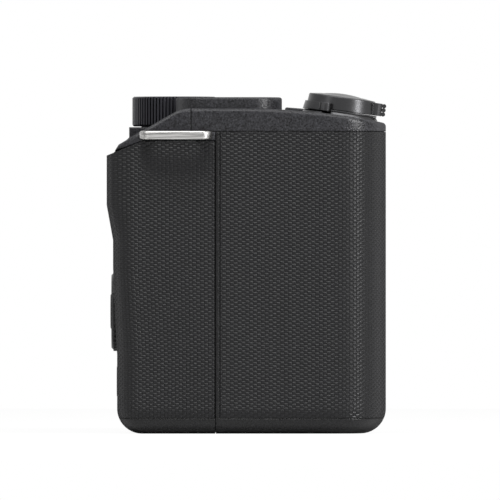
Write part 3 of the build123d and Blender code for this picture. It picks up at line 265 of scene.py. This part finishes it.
# White dot let into the ring's face, by which a lens is lined up.
# Enamel filled into a shallow drilled seat, slightly domed where it dried.
def object_of(name, mesh, material):
    """A new object in the scene from a finished bmesh, in its material."""
    data = bpy.data.meshes.new(name)
    mesh.to_mesh(data)
    mesh.free()
    data.materials.append(material)
    thing = bpy.data.objects.new(name, data)
    bpy.context.scene.collection.objects.link(thing)
    return thing


def piece(name, mesh, body, material, smooth=True):
    """A new piece of the camera, on a body and with a finish slot."""
    thing = object_of(name, mesh, material)
    for face in thing.data.polygons:
        face.use_smooth = smooth
    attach(thing, body)
    return thing


def hoop(mesh, count, place_at):
    """A ring of vertices; place_at turns an angle into a point."""
    return [mesh.verts.new(place_at(2 * pi * k / count)) for k in range(count)]


def wall(mesh, hoops):
    """Faces from each ring of vertices to the next."""
    for lower, upper in zip(hoops, hoops[1:]):
        for k in range(len(lower)):
            beside = (k + 1) % len(lower)
            mesh.faces.new((lower[k], lower[beside], upper[beside], upper[k]))


enamel = mottled(
    "white_enamel_fill", {"Roughness": 0.3, "IOR": 1.5}, pitch=0.5, detail=2.0, shades=("E4E3DF", "F2F1EE"),
)
dot_radius, dot_rise, dot_sunk = 0.00085, 0.00006, 0.00002
dot_angle, dot_circle, ring_face = radians(112), 0.0261, -0.0140
dot_x, dot_z = dot_circle * cos(dot_angle), lens_z + dot_circle * sin(dot_angle)
dot_spokes, dome_steps = 32, 4
dot = bmesh.new()


def dot_hoop(radius, y):
    """A ring of the dot's vertices, parallel to the mount's face."""
    return hoop(dot, dot_spokes, lambda angle: (dot_x + radius * cos(angle), y, dot_z + radius * sin(angle)))


hoops = [dot_hoop(dot_radius, ring_face + dot_sunk)]
for k in range(dome_steps):
    climb = k * pi / 2 / dome_steps
    hoops.append(dot_hoop(dot_radius * cos(climb), ring_face - dot_rise * sin(climb)))
wall(dot, hoops)
crown = dot.verts.new((dot_x, ring_face - dot_rise, dot_z))
for k in range(dot_spokes):
    dot.faces.new((hoops[-1][k], hoops[-1][(k + 1) % dot_spokes], crown))
piece("mount_index_dot", dot, "chassis", enamel)

# Light baffle, contact block, battery box, battery, card, jacks and the insert of the shoe.
# Nylon moulded in dull black, with a slight mottle; it must not throw light about inside the mount.
dress(
    mottled(
        "black_nylon_dull", {"Roughness": 0.85, "IOR": 1.53, "Specular IOR Level": 0.3},
        pitch=0.6, detail=4.0, shades=("101011", "1C1C1E"), depth=0.00003,
    ),
    "light_baffle", "contact_block", "battery_box", "battery_pack", "memory_card", "audio_jacks",
    "shoe_contacts",
)

# Contact pins, sprung in the contact block.
# Brass, gold plated: warm, bright and almost polished, with light marks where lenses have rubbed.
dress(mottled(
    "gold_plated_brass", {"Metallic": 1.0, "Roughness": 0.18},
    pitch=0.25, detail=3.0, shades=("D9A441", "F0C76A"), sheen=(0.12, 0.32),
), "contact_pins")

# Mount frame, sensor plate and the microphones' cans.
# Aluminium, die cast and left bare: pale grey with a cloudy skin from the mould.
dress(mottled(
    "die_cast_aluminium", {"Metallic": 1.0, "Roughness": 0.5},
    pitch=1.4, detail=5.0, shades=("7F8082", "A4A5A8"), depth=0.00002,
), "mount_frame", "sensor_plate", "mic_capsules")

# Sensor in its package behind a coated glass, held on the posts of the mount frame.
# The package is pressed alumina, dull and dark; the glass carries a thin film that turns from
# deep green to violet as the eye moves to the side.
alumina, shader = surface("pressed_alumina", {"Roughness": 0.7, "IOR": 1.76, "Specular IOR Level": 0.4})
place = add(alumina, "ShaderNodeTexCoord", {}, {})
speck = add(alumina, "ShaderNodeTexVoronoi", {"Scale": per_mm(0.25)}, {"Vector": (place, "Object")})
tint = add(alumina, "ShaderNodeMix", {
    "data_type": "RGBA", 6: linear("3A3A3D"), 7: linear("4A4A4E"),
}, {0: (speck, "Distance")})
join(alumina, tint, 2, shader, "Base Color")
dress(alumina, "sensor_package")
coated_glass, shader = surface("coated_filter_glass", {
    "Roughness": 0.03, "IOR": 1.52, "Coat Weight": 1.0, "Coat Roughness": 0.02,
})
edge_on = add(coated_glass, "ShaderNodeLayerWeight", {"Blend": 0.35}, {})
film = add(coated_glass, "ShaderNodeMix", {
    "data_type": "RGBA", 6: linear("12302C"), 7: linear("4B2A5C"),
}, {0: (edge_on, "Facing")})
place = add(coated_glass, "ShaderNodeTexCoord", {}, {})
drift = add(coated_glass, "ShaderNodeTexNoise", {"Scale": per_mm(14.0)}, {"Vector": (place, "Object")})
uneven = add(coated_glass, "ShaderNodeMix", {
    "data_type": "RGBA", "blend_type": "MULTIPLY", 0: 0.35,
}, {6: (film, 2), 7: (drift, "Color")})
join(coated_glass, uneven, 2, shader, "Base Color")
dress(coated_glass, "sensor_glass")

# Main, top and rear switch boards.
# Glass-epoxy laminate under green solder mask: satin, with the weave just felt through the mask.
solder_mask, shader = surface("glass_epoxy_solder_mask", {"Roughness": 0.35, "IOR": 1.55})
wave_turn = 6.28
place = add(solder_mask, "ShaderNodeTexCoord", {}, {})
weave = add(solder_mask, "ShaderNodeTexWave", {
    "Scale": per_mm(0.5) / wave_turn,
}, {"Vector": (place, "Object")})
tint = add(solder_mask, "ShaderNodeMix", {
    "data_type": "RGBA", 6: linear("0F3A26"), 7: linear("174B31"),
}, {0: (weave, "Fac")})
join(solder_mask, tint, 2, shader, "Base Color")
relief = add(solder_mask, "ShaderNodeBump", {"Distance": 0.00001}, {"Height": (weave, "Fac")})
join(solder_mask, relief, "Normal", shader, "Normal")
dress(solder_mask, "main_board", "top_board", "rear_switch_board")

# Front lamp, let into the front cover.
# Polycarbonate, moulded clear and tinted a deep red: dark at rest, with a gloss face.
dress(mottled(
    "polycarbonate_tinted", {"Roughness": 0.08, "IOR": 1.58, "Coat Weight": 0.6, "Coat Roughness": 0.05},
    pitch=1.2, detail=2.0, shades=("2A0806", "4C120C"),
), "front_lamp")

# Grip skin, glued into a pocket round the grip, flush with the covers.
# Thermoplastic rubber, moulded with a close field of small oblong pads. It is dark and half dull:
# the bevel above each pad catches the light as a short dash.
rubber, shader = surface("thermoplastic_rubber_moulded", {
    "Roughness": 0.3, "IOR": 1.5, "Specular IOR Level": 0.2,
})
# The pads stand in columns along the skin, each shifted up from the one before. A pad is full inside
# pad_inner and gone outside pad_outer, both from its middle, along the skin and upward. All in mm.
column_pitch, pad_pitch, column_shift = 0.759, 0.856, 0.382
pad_outer, pad_inner = (0.37, 0.36), (0.27, 0.16)
place = add(rubber, "ShaderNodeTexCoord", {}, {})
split = add(rubber, "ShaderNodeSeparateXYZ", {}, {"Vector": (place, "Object")})
lap = add(rubber, "ShaderNodeAttribute", {"attribute_name": "lap_mm"}, {})
up = add(rubber, "ShaderNodeMath", {"operation": "MULTIPLY", 1: 1000.0}, {0: (split, "Z")})
share = add(rubber, "ShaderNodeMath", {"operation": "DIVIDE", 1: column_pitch}, {0: (lap, "Fac")})
count = add(rubber, "ShaderNodeMath", {"operation": "ROUND"}, {0: (share, "Value")})
aside = add(rubber, "ShaderNodeMath", {"operation": "PINGPONG", 1: column_pitch / 2}, {0: (lap, "Fac")})
lower = add(rubber, "ShaderNodeMath", {
    "operation": "MULTIPLY_ADD", 1: -column_shift,
}, {0: (count, "Value"), 2: (up, "Value")})
above = add(rubber, "ShaderNodeMath", {"operation": "PINGPONG", 1: pad_pitch / 2}, {0: (lower, "Value")})
ramps = [
    add(rubber, "ShaderNodeMapRange", {"From Min": outer, "From Max": inner}, {"Value": (off, "Value")})
    for off, outer, inner in zip((aside, above), pad_outer, pad_inner)
]
pad = add(rubber, "ShaderNodeMath", {
    "operation": "SMOOTH_MIN", 2: 0.15,
}, {0: (ramps[0], "Result"), 1: (ramps[1], "Result")})
cloud = add(rubber, "ShaderNodeTexNoise", {
    "Scale": per_mm(6.0), "Detail": 3.0,
}, {"Vector": (place, "Object")})
worn = add(rubber, "ShaderNodeMix", {
    "data_type": "RGBA", 6: linear("141415"), 7: linear("1B1B1D"),
}, {0: (cloud, "Fac")})
# Hands polish the pads, so the ground between them is duller; the ground is also painted darker as painted
# shade.
tint = add(rubber, "ShaderNodeMix", {
    "data_type": "RGBA", 6: linear("0A0A0B"),
}, {0: (pad, "Value"), 7: (worn, 2)})
join(rubber, tint, 2, shader, "Base Color")
sheen = add(rubber, "ShaderNodeMapRange", {"To Min": 0.36, "To Max": 0.26}, {"Value": (pad, "Value")})
duller_edge_on(rubber, sheen, shader)
relief = add(rubber, "ShaderNodeBump", {"Distance": 0.00009}, {"Height": (pad, "Value")})
bloom = add(rubber, "ShaderNodeTexNoise", {
    "Scale": per_mm(0.15), "Detail": 2.0,
}, {"Vector": (place, "Object")})
grain = add(rubber, "ShaderNodeBump", {
    "Distance": 0.00001,
}, {"Height": (bloom, "Fac"), "Normal": (relief, "Normal")})
join(rubber, grain, "Normal", shader, "Normal")

# The sheet has three steps to a column of pads and four to a pad's height, and fades to a flat rim.
column, row, row_slip = column_pitch / 3000, pad_pitch / 4000, column_shift / 3000
pad_rise, edge_fade, skin_depth = 0.00005, 0.00035, 0.0008
skin_ceiling, merge_distance, touching = 0.0600, 0.00001, 1e-9


def plan_path(corners):
    """Straight runs and arcs through corners (x, y, round), with the camera's inside on their left."""
    runs = []
    start = corners[0][:2]
    for k in range(1, len(corners)):
        x, y, rounding = corners[k]
        length = hypot(x - start[0], y - start[1])
        way = ((x - start[0]) / length, (y - start[1]) / length)
        if k == len(corners) - 1:
            runs.append(("run", start, way, length))
            break
        after = (corners[k + 1][0] - x, corners[k + 1][1] - y)
        size = hypot(*after)
        onward = (after[0] / size, after[1] / size)
        turn = atan2(way[0] * onward[1] - way[1] * onward[0], way[0] * onward[0] + way[1] * onward[1])
        cut = rounding * tan(abs(turn) / 2)
        runs.append(("run", start, way, length - cut))
        side = 1 if turn > 0 else -1
        begin = (x - way[0] * cut, y - way[1] * cut)
        middle = (begin[0] - side * way[1] * rounding, begin[1] + side * way[0] * rounding)
        first = atan2(begin[1] - middle[1], begin[0] - middle[0])
        runs.append(("arc", middle, rounding, first, side, rounding * abs(turn)))
        start = (x + onward[0] * cut, y + onward[1] * cut)
    return runs


def along(runs, distance):
    """Place and outward direction at a distance along a path."""
    for k, run in enumerate(runs):
        if distance <= run[-1] or k == len(runs) - 1:
            break
        distance -= run[-1]
    if run[0] == "run":
        start, way = run[1], run[2]
        return start[0] + way[0] * distance, start[1] + way[1] * distance, way[1], -way[0]
    middle, rounding, first, side = run[1:5]
    angle = first + side * distance / rounding
    out = (cos(angle), sin(angle))
    return middle[0] + rounding * out[0], middle[1] + rounding * out[1], side * out[0], side * out[1]


def between(start, end, value):
    """How far a value is on the way from start to end, held at 0 before and at 1 beyond."""
    return min(1.0, max(0.0, (value - start) / (end - start)))


def smooth(start, end, value):
    """The same, with a soft start and end."""
    t = between(start, end, value)
    return t * t * (3 - 2 * t)


def ground_share(distance, height):
    """The moulded pattern, 0 on the flat of a pad and 1 on the ground between pads."""
    u, z = distance * 1000, height * 1000
    count = floor(u / column_pitch + 0.5)
    up = (z - column_shift * count) / pad_pitch
    offs = (abs(u - column_pitch * count), pad_pitch * abs(up - floor(up + 0.5)))
    return 1 - min(between(outer, inner, off) for off, outer, inner in zip(offs, pad_outer, pad_inner))


def skin_panel(mesh, runs, ends, first, last, low, top_of, place_on):
    """A sheet of skin between two distances along a path; its grid follows the lattice of pads."""
    lap_mm = mesh.verts.layers.float.get("lap_mm") or mesh.verts.layers.float.new("lap_mm")
    columns = int(round((last - first) / column))
    grid = []
    for i in range(columns + 1):
        distance = first + (last - first) * i / columns
        slip = (distance / column * row_slip + row / 2) % row
        place = along(runs, distance)
        high = top_of(place)
        verts = []
        for j in range(int((skin_ceiling - low) / row) + 2):
            z = low if j == 0 else min(high, max(low, low + (j - 1) * row + slip))
            fade = smooth(0.0, edge_fade, min(distance - ends[0], ends[1] - distance, z - low, high - z))
            vert = mesh.verts.new(place_on(place, z, pad_rise * ground_share(distance, z) * fade))
            vert[lap_mm] = distance * 1000
            verts.append(vert)
        grid.append(verts)
    for i in range(columns):
        for left, right, right_up, left_up in zip(grid[i], grid[i + 1], grid[i + 1][1:], grid[i][1:]):
            if left.co != left_up.co or right.co != right_up.co:
                mesh.faces.new((left, right, right_up, left_up))


def close_edges(mesh):
    """Merges doubled points, then turns every free edge inward to the floor of the pocket."""
    bmesh.ops.remove_doubles(mesh, verts=mesh.verts, dist=merge_distance)
    bmesh.ops.recalc_face_normals(mesh, faces=mesh.faces)
    mesh.normal_update()
    rim = bmesh.ops.extrude_edge_only(mesh, edges=[edge for edge in mesh.edges if edge.is_boundary])
    for vert in (v for v in rim["geom"] if isinstance(v, bmesh.types.BMVert)):
        others = [edge.other_vert(vert) for edge in vert.link_edges]
        root = next(other for other in others if (other.co - vert.co).length < touching)
        vert.co = vert.co - root.normal * skin_depth


# The skin runs from the plastic strip at the grip's side, round the grip's nose, to the front cover.
grip_side, grip_nose, front_face = -0.0670, -0.0286, -0.0100
nose_inner, root_x, front_end_x, strip_front_y = -0.0410, -0.0365, -0.03305, 0.00388
skin_low, front_high, base_round = 0.00308, 0.05912, 0.0049
front_runs = plan_path([
    (grip_side, strip_front_y, 0.0),
    (grip_side, grip_nose, 0.0115),
    (nose_inner, grip_nose, 0.0075),
    (root_x, front_face, 0.0040),
    (front_end_x, front_face, 0.0),
])
front_ends = (0.0, sum(run[-1] for run in front_runs))


def base_inset(z):
    """How far the round along the base draws the side in at a height."""
    if z >= base_round:
        return 0.0
    return base_round - sqrt(max(0.0, base_round**2 - (base_round - z) ** 2))


def on_front(place, z, depth):
    """A point of the front skin: on the casing's side, less the base round and the pattern."""
    x, y, out_x, out_y = place
    inset = base_inset(z) + depth
    return x - out_x * inset, y - out_y * inset, z


front_skin = bmesh.new()
skin_panel(front_skin, front_runs, front_ends, *front_ends, skin_low, lambda place: front_high, on_front)
close_edges(front_skin)
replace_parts(piece("grip_skin_moulded", front_skin, "chassis", rubber), "grip_skin")

# Thumb skin, glued round the rear corner from the plastic strip to the rear buttons.
# The same moulded rubber. Beside the buttons it is only a patch with the thumb ridge; its panel leans
# in below, and its upper edge falls towards the rear.
panel_reach, panel_lean, corner_round = 0.0249, 0.0008, 0.0054
lean_low, lean_high = 0.0154, 0.0324
strip_rear_y, patch_end_x, patch_side_x, patch_low = 0.00505, -0.05025, -0.05825, 0.03665
thumb_foot, thumb_low, thumb_proud = 0.0379, 0.0448, 0.00125
thumb_outer, thumb_inner = (-0.0669, -0.0640), (-0.0521, -0.0503)
rear_high, fall_start, fall_slope = 0.05727, 0.0190, 2.7 / 6.9
rear_runs = plan_path([
    (patch_end_x, panel_reach, 0.0),
    (grip_side, panel_reach, corner_round),
    (grip_side, strip_rear_y, 0.0),
])
rear_ends = (0.0, sum(run[-1] for run in rear_runs))


def thumb_across(x):
    """1 across the thumb ridge and 0 beside it."""
    return smooth(*thumb_outer, x) * (1 - smooth(*thumb_inner, x))


def rear_top(place):
    """The rear skin's upper edge: level, then falling towards the rear."""
    reach = place[1] + thumb_proud * thumb_across(place[0])
    return rear_high - max(0.0, reach - fall_start) * fall_slope


def on_rear(place, z, depth):
    """A point of the rear skin: the panel leans in below, and the thumb ridge stands proud of it."""
    x, y, out_x, out_y = place
    lean = panel_lean * (1 - between(lean_low, lean_high, z))
    y -= lean * between(strip_rear_y, panel_reach - corner_round, y)
    y += thumb_proud * thumb_across(x) * between(thumb_foot, thumb_low, z)
    inset = base_inset(z) + depth
    return x - out_x * inset, y - out_y * inset, z


rear_skin = bmesh.new()
patch_width = patch_end_x - patch_side_x
skin_panel(rear_skin, rear_runs, rear_ends, 0.0, patch_width, patch_low, rear_top, on_rear)
skin_panel(rear_skin, rear_runs, rear_ends, patch_width, rear_ends[1], skin_low, rear_top, on_rear)
close_edges(rear_skin)
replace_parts(piece("thumb_skin_moulded", rear_skin, "chassis", rubber), "thumb_skin")

# Accessory shoe, let into the top cover.
# Stainless steel, folded and milled; its rails are brushed along the way an accessory slides in.
dress(mottled(
    "stainless_steel_brushed", {"Metallic": 1.0, "Roughness": 0.3},
    pitch=0.15, streak=6.0, detail=3.0, shades=("9A9A9B", "C4C4C4"), sheen=(0.3, 0.48), depth=0.000004,
), "shoe_base")

# Shutter button, zoom and power levers and their collar; then the top dial and the monitor's bracket.
# Aluminium, turned, bead-blasted fine and anodised black, darker on the dial: soft bright reflections
# run round the turned faces, and the broken edges glint.
for name, shades, wearers in (
    ("aluminium_anodised_turned", ("363637", "434344"), (
        "shutter_button", "zoom_lever", "power_lever", "shutter_collar",
    )),
    ("aluminium_anodised_knurled", ("2A2A2D", "37373B"), ("control_dial", "hinge_bracket")),
):
    dress(mottled(
        name, {"Metallic": 1.0, "Roughness": 0.34},
        pitch=0.2, detail=3.0, shades=shades, sheen=(0.25, 0.38), depth=0.00001, edge=0.00018,
    ), *wearers)

# Rear wheel, rear buttons, release button and door latch.
# ABS, moulded in polished moulds and then sprayed with a thin satin lacquer, so smoother than the covers.
dress(
    mottled(
        "abs_satin_lacquer", {"Roughness": 0.4, "IOR": 1.53, "Specular IOR Level": 0.28},
        pitch=0.25, detail=2.0, shades=("121213", "19191A"), sheen=(0.34, 0.48), depth=0.000006, edge=0.0001,
    ),
    "control_wheel", "centre_button", "menu_button", "function_button", "playback_button", "delete_button",
    "release_button", "door_latch",
)

# Monitor glass, bonded to the monitor's tray.
# Toughened glass over a black bezel print, with the unlit panel a shade bluer inside it.
monitor_glass, shader = surface("toughened_glass_over_panel", {
    "Roughness": 0.05, "IOR": 1.52, "Coat Weight": 1.0, "Coat Roughness": 0.02,
})
place = add(monitor_glass, "ShaderNodeTexCoord", {}, {})
split = add(monitor_glass, "ShaderNodeSeparateXYZ", {}, {"Vector": (place, "Object")})
within = []
for axis, panel_mid, panel_half in (("X", 0.0053, 0.0315), ("Z", 0.0319, 0.0215)):
    offset = add(monitor_glass, "ShaderNodeMath", {
        "operation": "SUBTRACT", 1: panel_mid,
    }, {0: (split, axis)})
    away = add(monitor_glass, "ShaderNodeMath", {"operation": "ABSOLUTE"}, {0: (offset, "Value")})
    within.append(add(monitor_glass, "ShaderNodeMath", {
        "operation": "LESS_THAN", 1: panel_half,
    }, {0: (away, "Value")}))
on_panel = add(monitor_glass, "ShaderNodeMath", {
    "operation": "MULTIPLY",
}, {0: (within[0], "Value"), 1: (within[1], "Value")})
tint = add(monitor_glass, "ShaderNodeMix", {
    "data_type": "RGBA", 6: linear("08080A"), 7: linear("10131A"),
}, {0: (on_panel, "Value")})
join(monitor_glass, tint, 2, shader, "Base Color")
dress(monitor_glass, "monitor_glass")

# Base screws, which hold the base plate to the covers.
# Carbon steel, blackened in hot oxide: blue-black and oily, with a bright scuff or two.
dress(mottled(
    "steel_black_oxide", {"Metallic": 1.0, "Roughness": 0.4},
    pitch=0.35, detail=4.0, shades=("232428", "3C3D42"),
), "cover_screws")

# Tripod bush, pressed into the base plate.
# Stainless steel turned from bar and tapped with the common quarter-inch thread, 1.27 mm pitch.
# The CAD bush has a plain bore; this one carries the thread's real ridges, flattened at root and crest.
bush_radius, bush_height = 0.0055, 0.0065
mouth_radius, mouth_depth, bore_depth = 0.0033, 0.0004, 0.0055
crest, thread_root, pitch = 0.00255, 0.00308, 0.00127
flank_gain, root_flat = 1.35, 0.12
spokes, rows_per_turn = 48, 10
bush = bmesh.new()


def bush_hoop(z, radius_at):
    """A ring of the bush's vertices at a height; radius_at turns an angle into a radius."""
    return hoop(bush, spokes, lambda angle: (radius_at(angle) * cos(angle), radius_at(angle) * sin(angle), z))


def thread_radius(z, angle):
    """Radius of the tapped bore, which goes from crest to root and back once in each pitch."""
    ridge = abs(2 * ((z / pitch - angle / (2 * pi)) % 1.0) - 1)
    return thread_root - (thread_root - crest) * min(1.0, max(0.0, flank_gain * ridge - root_flat))


hoops = [bush_hoop(z, lambda angle: bush_radius) for z in (bush_height, 0.0)]
hoops.append(bush_hoop(0.0, lambda angle: mouth_radius))
rows = int(bore_depth / pitch * rows_per_turn)
for j in range(rows + 1):
    z = mouth_depth + (bore_depth - mouth_depth) * j / rows
    hoops.append(bush_hoop(z, lambda angle: thread_radius(z, angle)))
wall(bush, hoops)
bush.faces.new(hoops[0])
bush.faces.new(hoops[-1])
bmesh.ops.recalc_face_normals(bush, faces=bush.faces)
threaded_bush = piece("tripod_bush_threaded", bush, "chassis", satin_steel, smooth=False)
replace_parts(threaded_bush, "tripod_bush")

# Microphone gauze, one strip glued behind each slot of the grille to keep dust out.
# Fine stainless gauze, blackened, so the slots look dark but not empty.
gauze, shader = surface("blackened_steel_gauze", {"Metallic": 0.6, "Roughness": 0.55})
place = add(gauze, "ShaderNodeTexCoord", {}, {})
# Wires 0.05 mm apart are drawn 0.3 mm apart, so that they show at this size.
wires = add(gauze, "ShaderNodeTexChecker", {
    "Scale": per_mm(0.3), "Color1": linear("1A1A1B"), "Color2": linear("3A3A3C"),
}, {"Vector": (place, "Object")})
join(gauze, wires, "Color", shader, "Base Color")
relief = add(gauze, "ShaderNodeBump", {"Distance": 0.00005}, {"Height": (wires, "Fac")})
join(gauze, relief, "Normal", shader, "Normal")
mic_x, mic_y, slot_floor = 0.0305, 0.0026, 0.06334
slot_width, slot_length = 0.0008, 0.0108
slot_count, slot_pitch, end_steps = 9, 0.0025, 8
strips = bmesh.new()
for k in range(slot_count):
    middle = mic_x + (k - (slot_count - 1) / 2) * slot_pitch
    rim = []
    for end, first in ((1, 0.0), (-1, pi)):
        for j in range(end_steps + 1):
            angle = first + pi * j / end_steps
            rim.append(strips.verts.new((
                middle + slot_width / 2 * cos(angle),
                mic_y + end * (slot_length - slot_width) / 2 + slot_width / 2 * sin(angle),
                slot_floor,
            )))
    strips.faces.new(rim)
piece("mic_gauze", strips, "chassis", gauze)

# Studio table, on which the camera stands.
# Matt white laminate. It is white to the camera, and a small part of it is lit by the lamps, so that
# it still shows the shadow.
table_half, self_white, cloud_mm = 0.6, 0.94, 1000 / 3
laminate, shader = surface("white_laminate_table", {"Roughness": 0.9, "Specular IOR Level": 0.1})
place = add(laminate, "ShaderNodeTexCoord", {}, {})
cloud = add(laminate, "ShaderNodeTexNoise", {
    "Scale": per_mm(cloud_mm), "Detail": 2.0,
}, {"Vector": (place, "Object")})
tint = add(laminate, "ShaderNodeMix", {
    "data_type": "RGBA", 6: linear("F4F4F4"), 7: linear("F8F8F8"),
}, {0: (cloud, "Fac")})
join(laminate, tint, 2, shader, "Base Color")
glow = add(laminate, "ShaderNodeEmission", {"Strength": 1.0}, {})
seen = add(laminate, "ShaderNodeLightPath", {}, {})
share = add(laminate, "ShaderNodeMath", {
    "operation": "MULTIPLY", 1: self_white,
}, {0: (seen, "Is Camera Ray")})
both = add(laminate, "ShaderNodeMixShader", {}, {
    "Fac": (share, "Value"), 1: (shader, "BSDF"), 2: (glow, "Emission"),
})
join(laminate, both, "Shader", laminate.node_tree.nodes["Material Output"], "Surface")
top = bmesh.new()
bmesh.ops.create_grid(top, x_segments=8, y_segments=8, size=table_half)
table = object_of("studio_table", top, laminate)

# White surround of the studio.
# It is full white to the camera, to gloss and through glass, and lights the camera only a little.
world = bpy.data.worlds.new("white_surround")
bpy.context.scene.world = world
world.use_nodes = True
ground = world.node_tree.nodes["Background"]
ground.inputs["Color"].default_value = linear("FFFFFF")
seen = add(world, "ShaderNodeLightPath", {}, {})
straight = add(world, "ShaderNodeMath", {
    "operation": "MAXIMUM",
}, {0: (seen, "Is Camera Ray"), 1: (seen, "Is Glossy Ray")})
clear = add(world, "ShaderNodeMath", {
    "operation": "MAXIMUM",
}, {0: (straight, "Value"), 1: (seen, "Is Transmission Ray")})
level = add(world, "ShaderNodeMapRange", {"To Min": 0.15, "To Max": 1.0}, {"Value": (clear, "Value")})
join(world, level, "Result", ground, "Strength")

# Softboxes, each turned towards the grip's upper half.
# The key stands in front of the grip, and the others above and behind draw the upper edges.
lit_point = (-0.05, 0.0, 0.035)
for name, place, width, height, watts in (
    ("key_softbox", (-0.66, -1.10, 0.42), 0.32, 0.6, 15.5),
    ("top_softbox", (-0.50, 0.05, 1.0), 0.9, 0.42, 9.2),
    ("front_top_softbox", (-0.27, -0.57, 1.0), 0.5, 0.32, 3.4),
    ("rear_softbox", (-0.9, 0.9, 0.5), 0.15, 0.6, 1.0),
    ("rear_top_softbox", (-0.27, 0.62, 1.0), 0.5, 0.32, 2.6),
):
    lamp = bpy.data.lights.new(name, "AREA")
    lamp.shape = "RECTANGLE"
    lamp.size, lamp.size_y, lamp.energy = width, height, watts
    softbox = bpy.data.objects.new(name, lamp)
    bpy.context.scene.collection.objects.link(softbox)
    softbox.location = place
    way = [aim - start for aim, start in zip(lit_point, place)]
    softbox.rotation_euler = (atan2(hypot(way[0], way[1]), -way[2]), 0.0, atan2(way[1], way[0]) - pi / 2)

# The view looks level along +X at the grip side, from far off, as the photograph was taken.
picture_px, pixel_mm, view_distance = 500, 0.196, 4.2
view_x, view_y, view_z = -0.060, -0.00194, 0.03597
eye = bpy.data.cameras.new("product_view")
eye.sensor_width = 36.0
eye.lens = eye.sensor_width * view_distance * 1000 / (picture_px * pixel_mm)
eye.clip_end = 30.0
camera = bpy.data.objects.new("product_view", eye)
bpy.context.scene.collection.objects.link(camera)
camera.location = (view_x - view_distance, view_y, view_z)
camera.rotation_euler = (radians(90), 0.0, radians(-90))
bpy.context.scene.camera = camera
bpy.context.scene.view_settings.view_transform = "Standard"
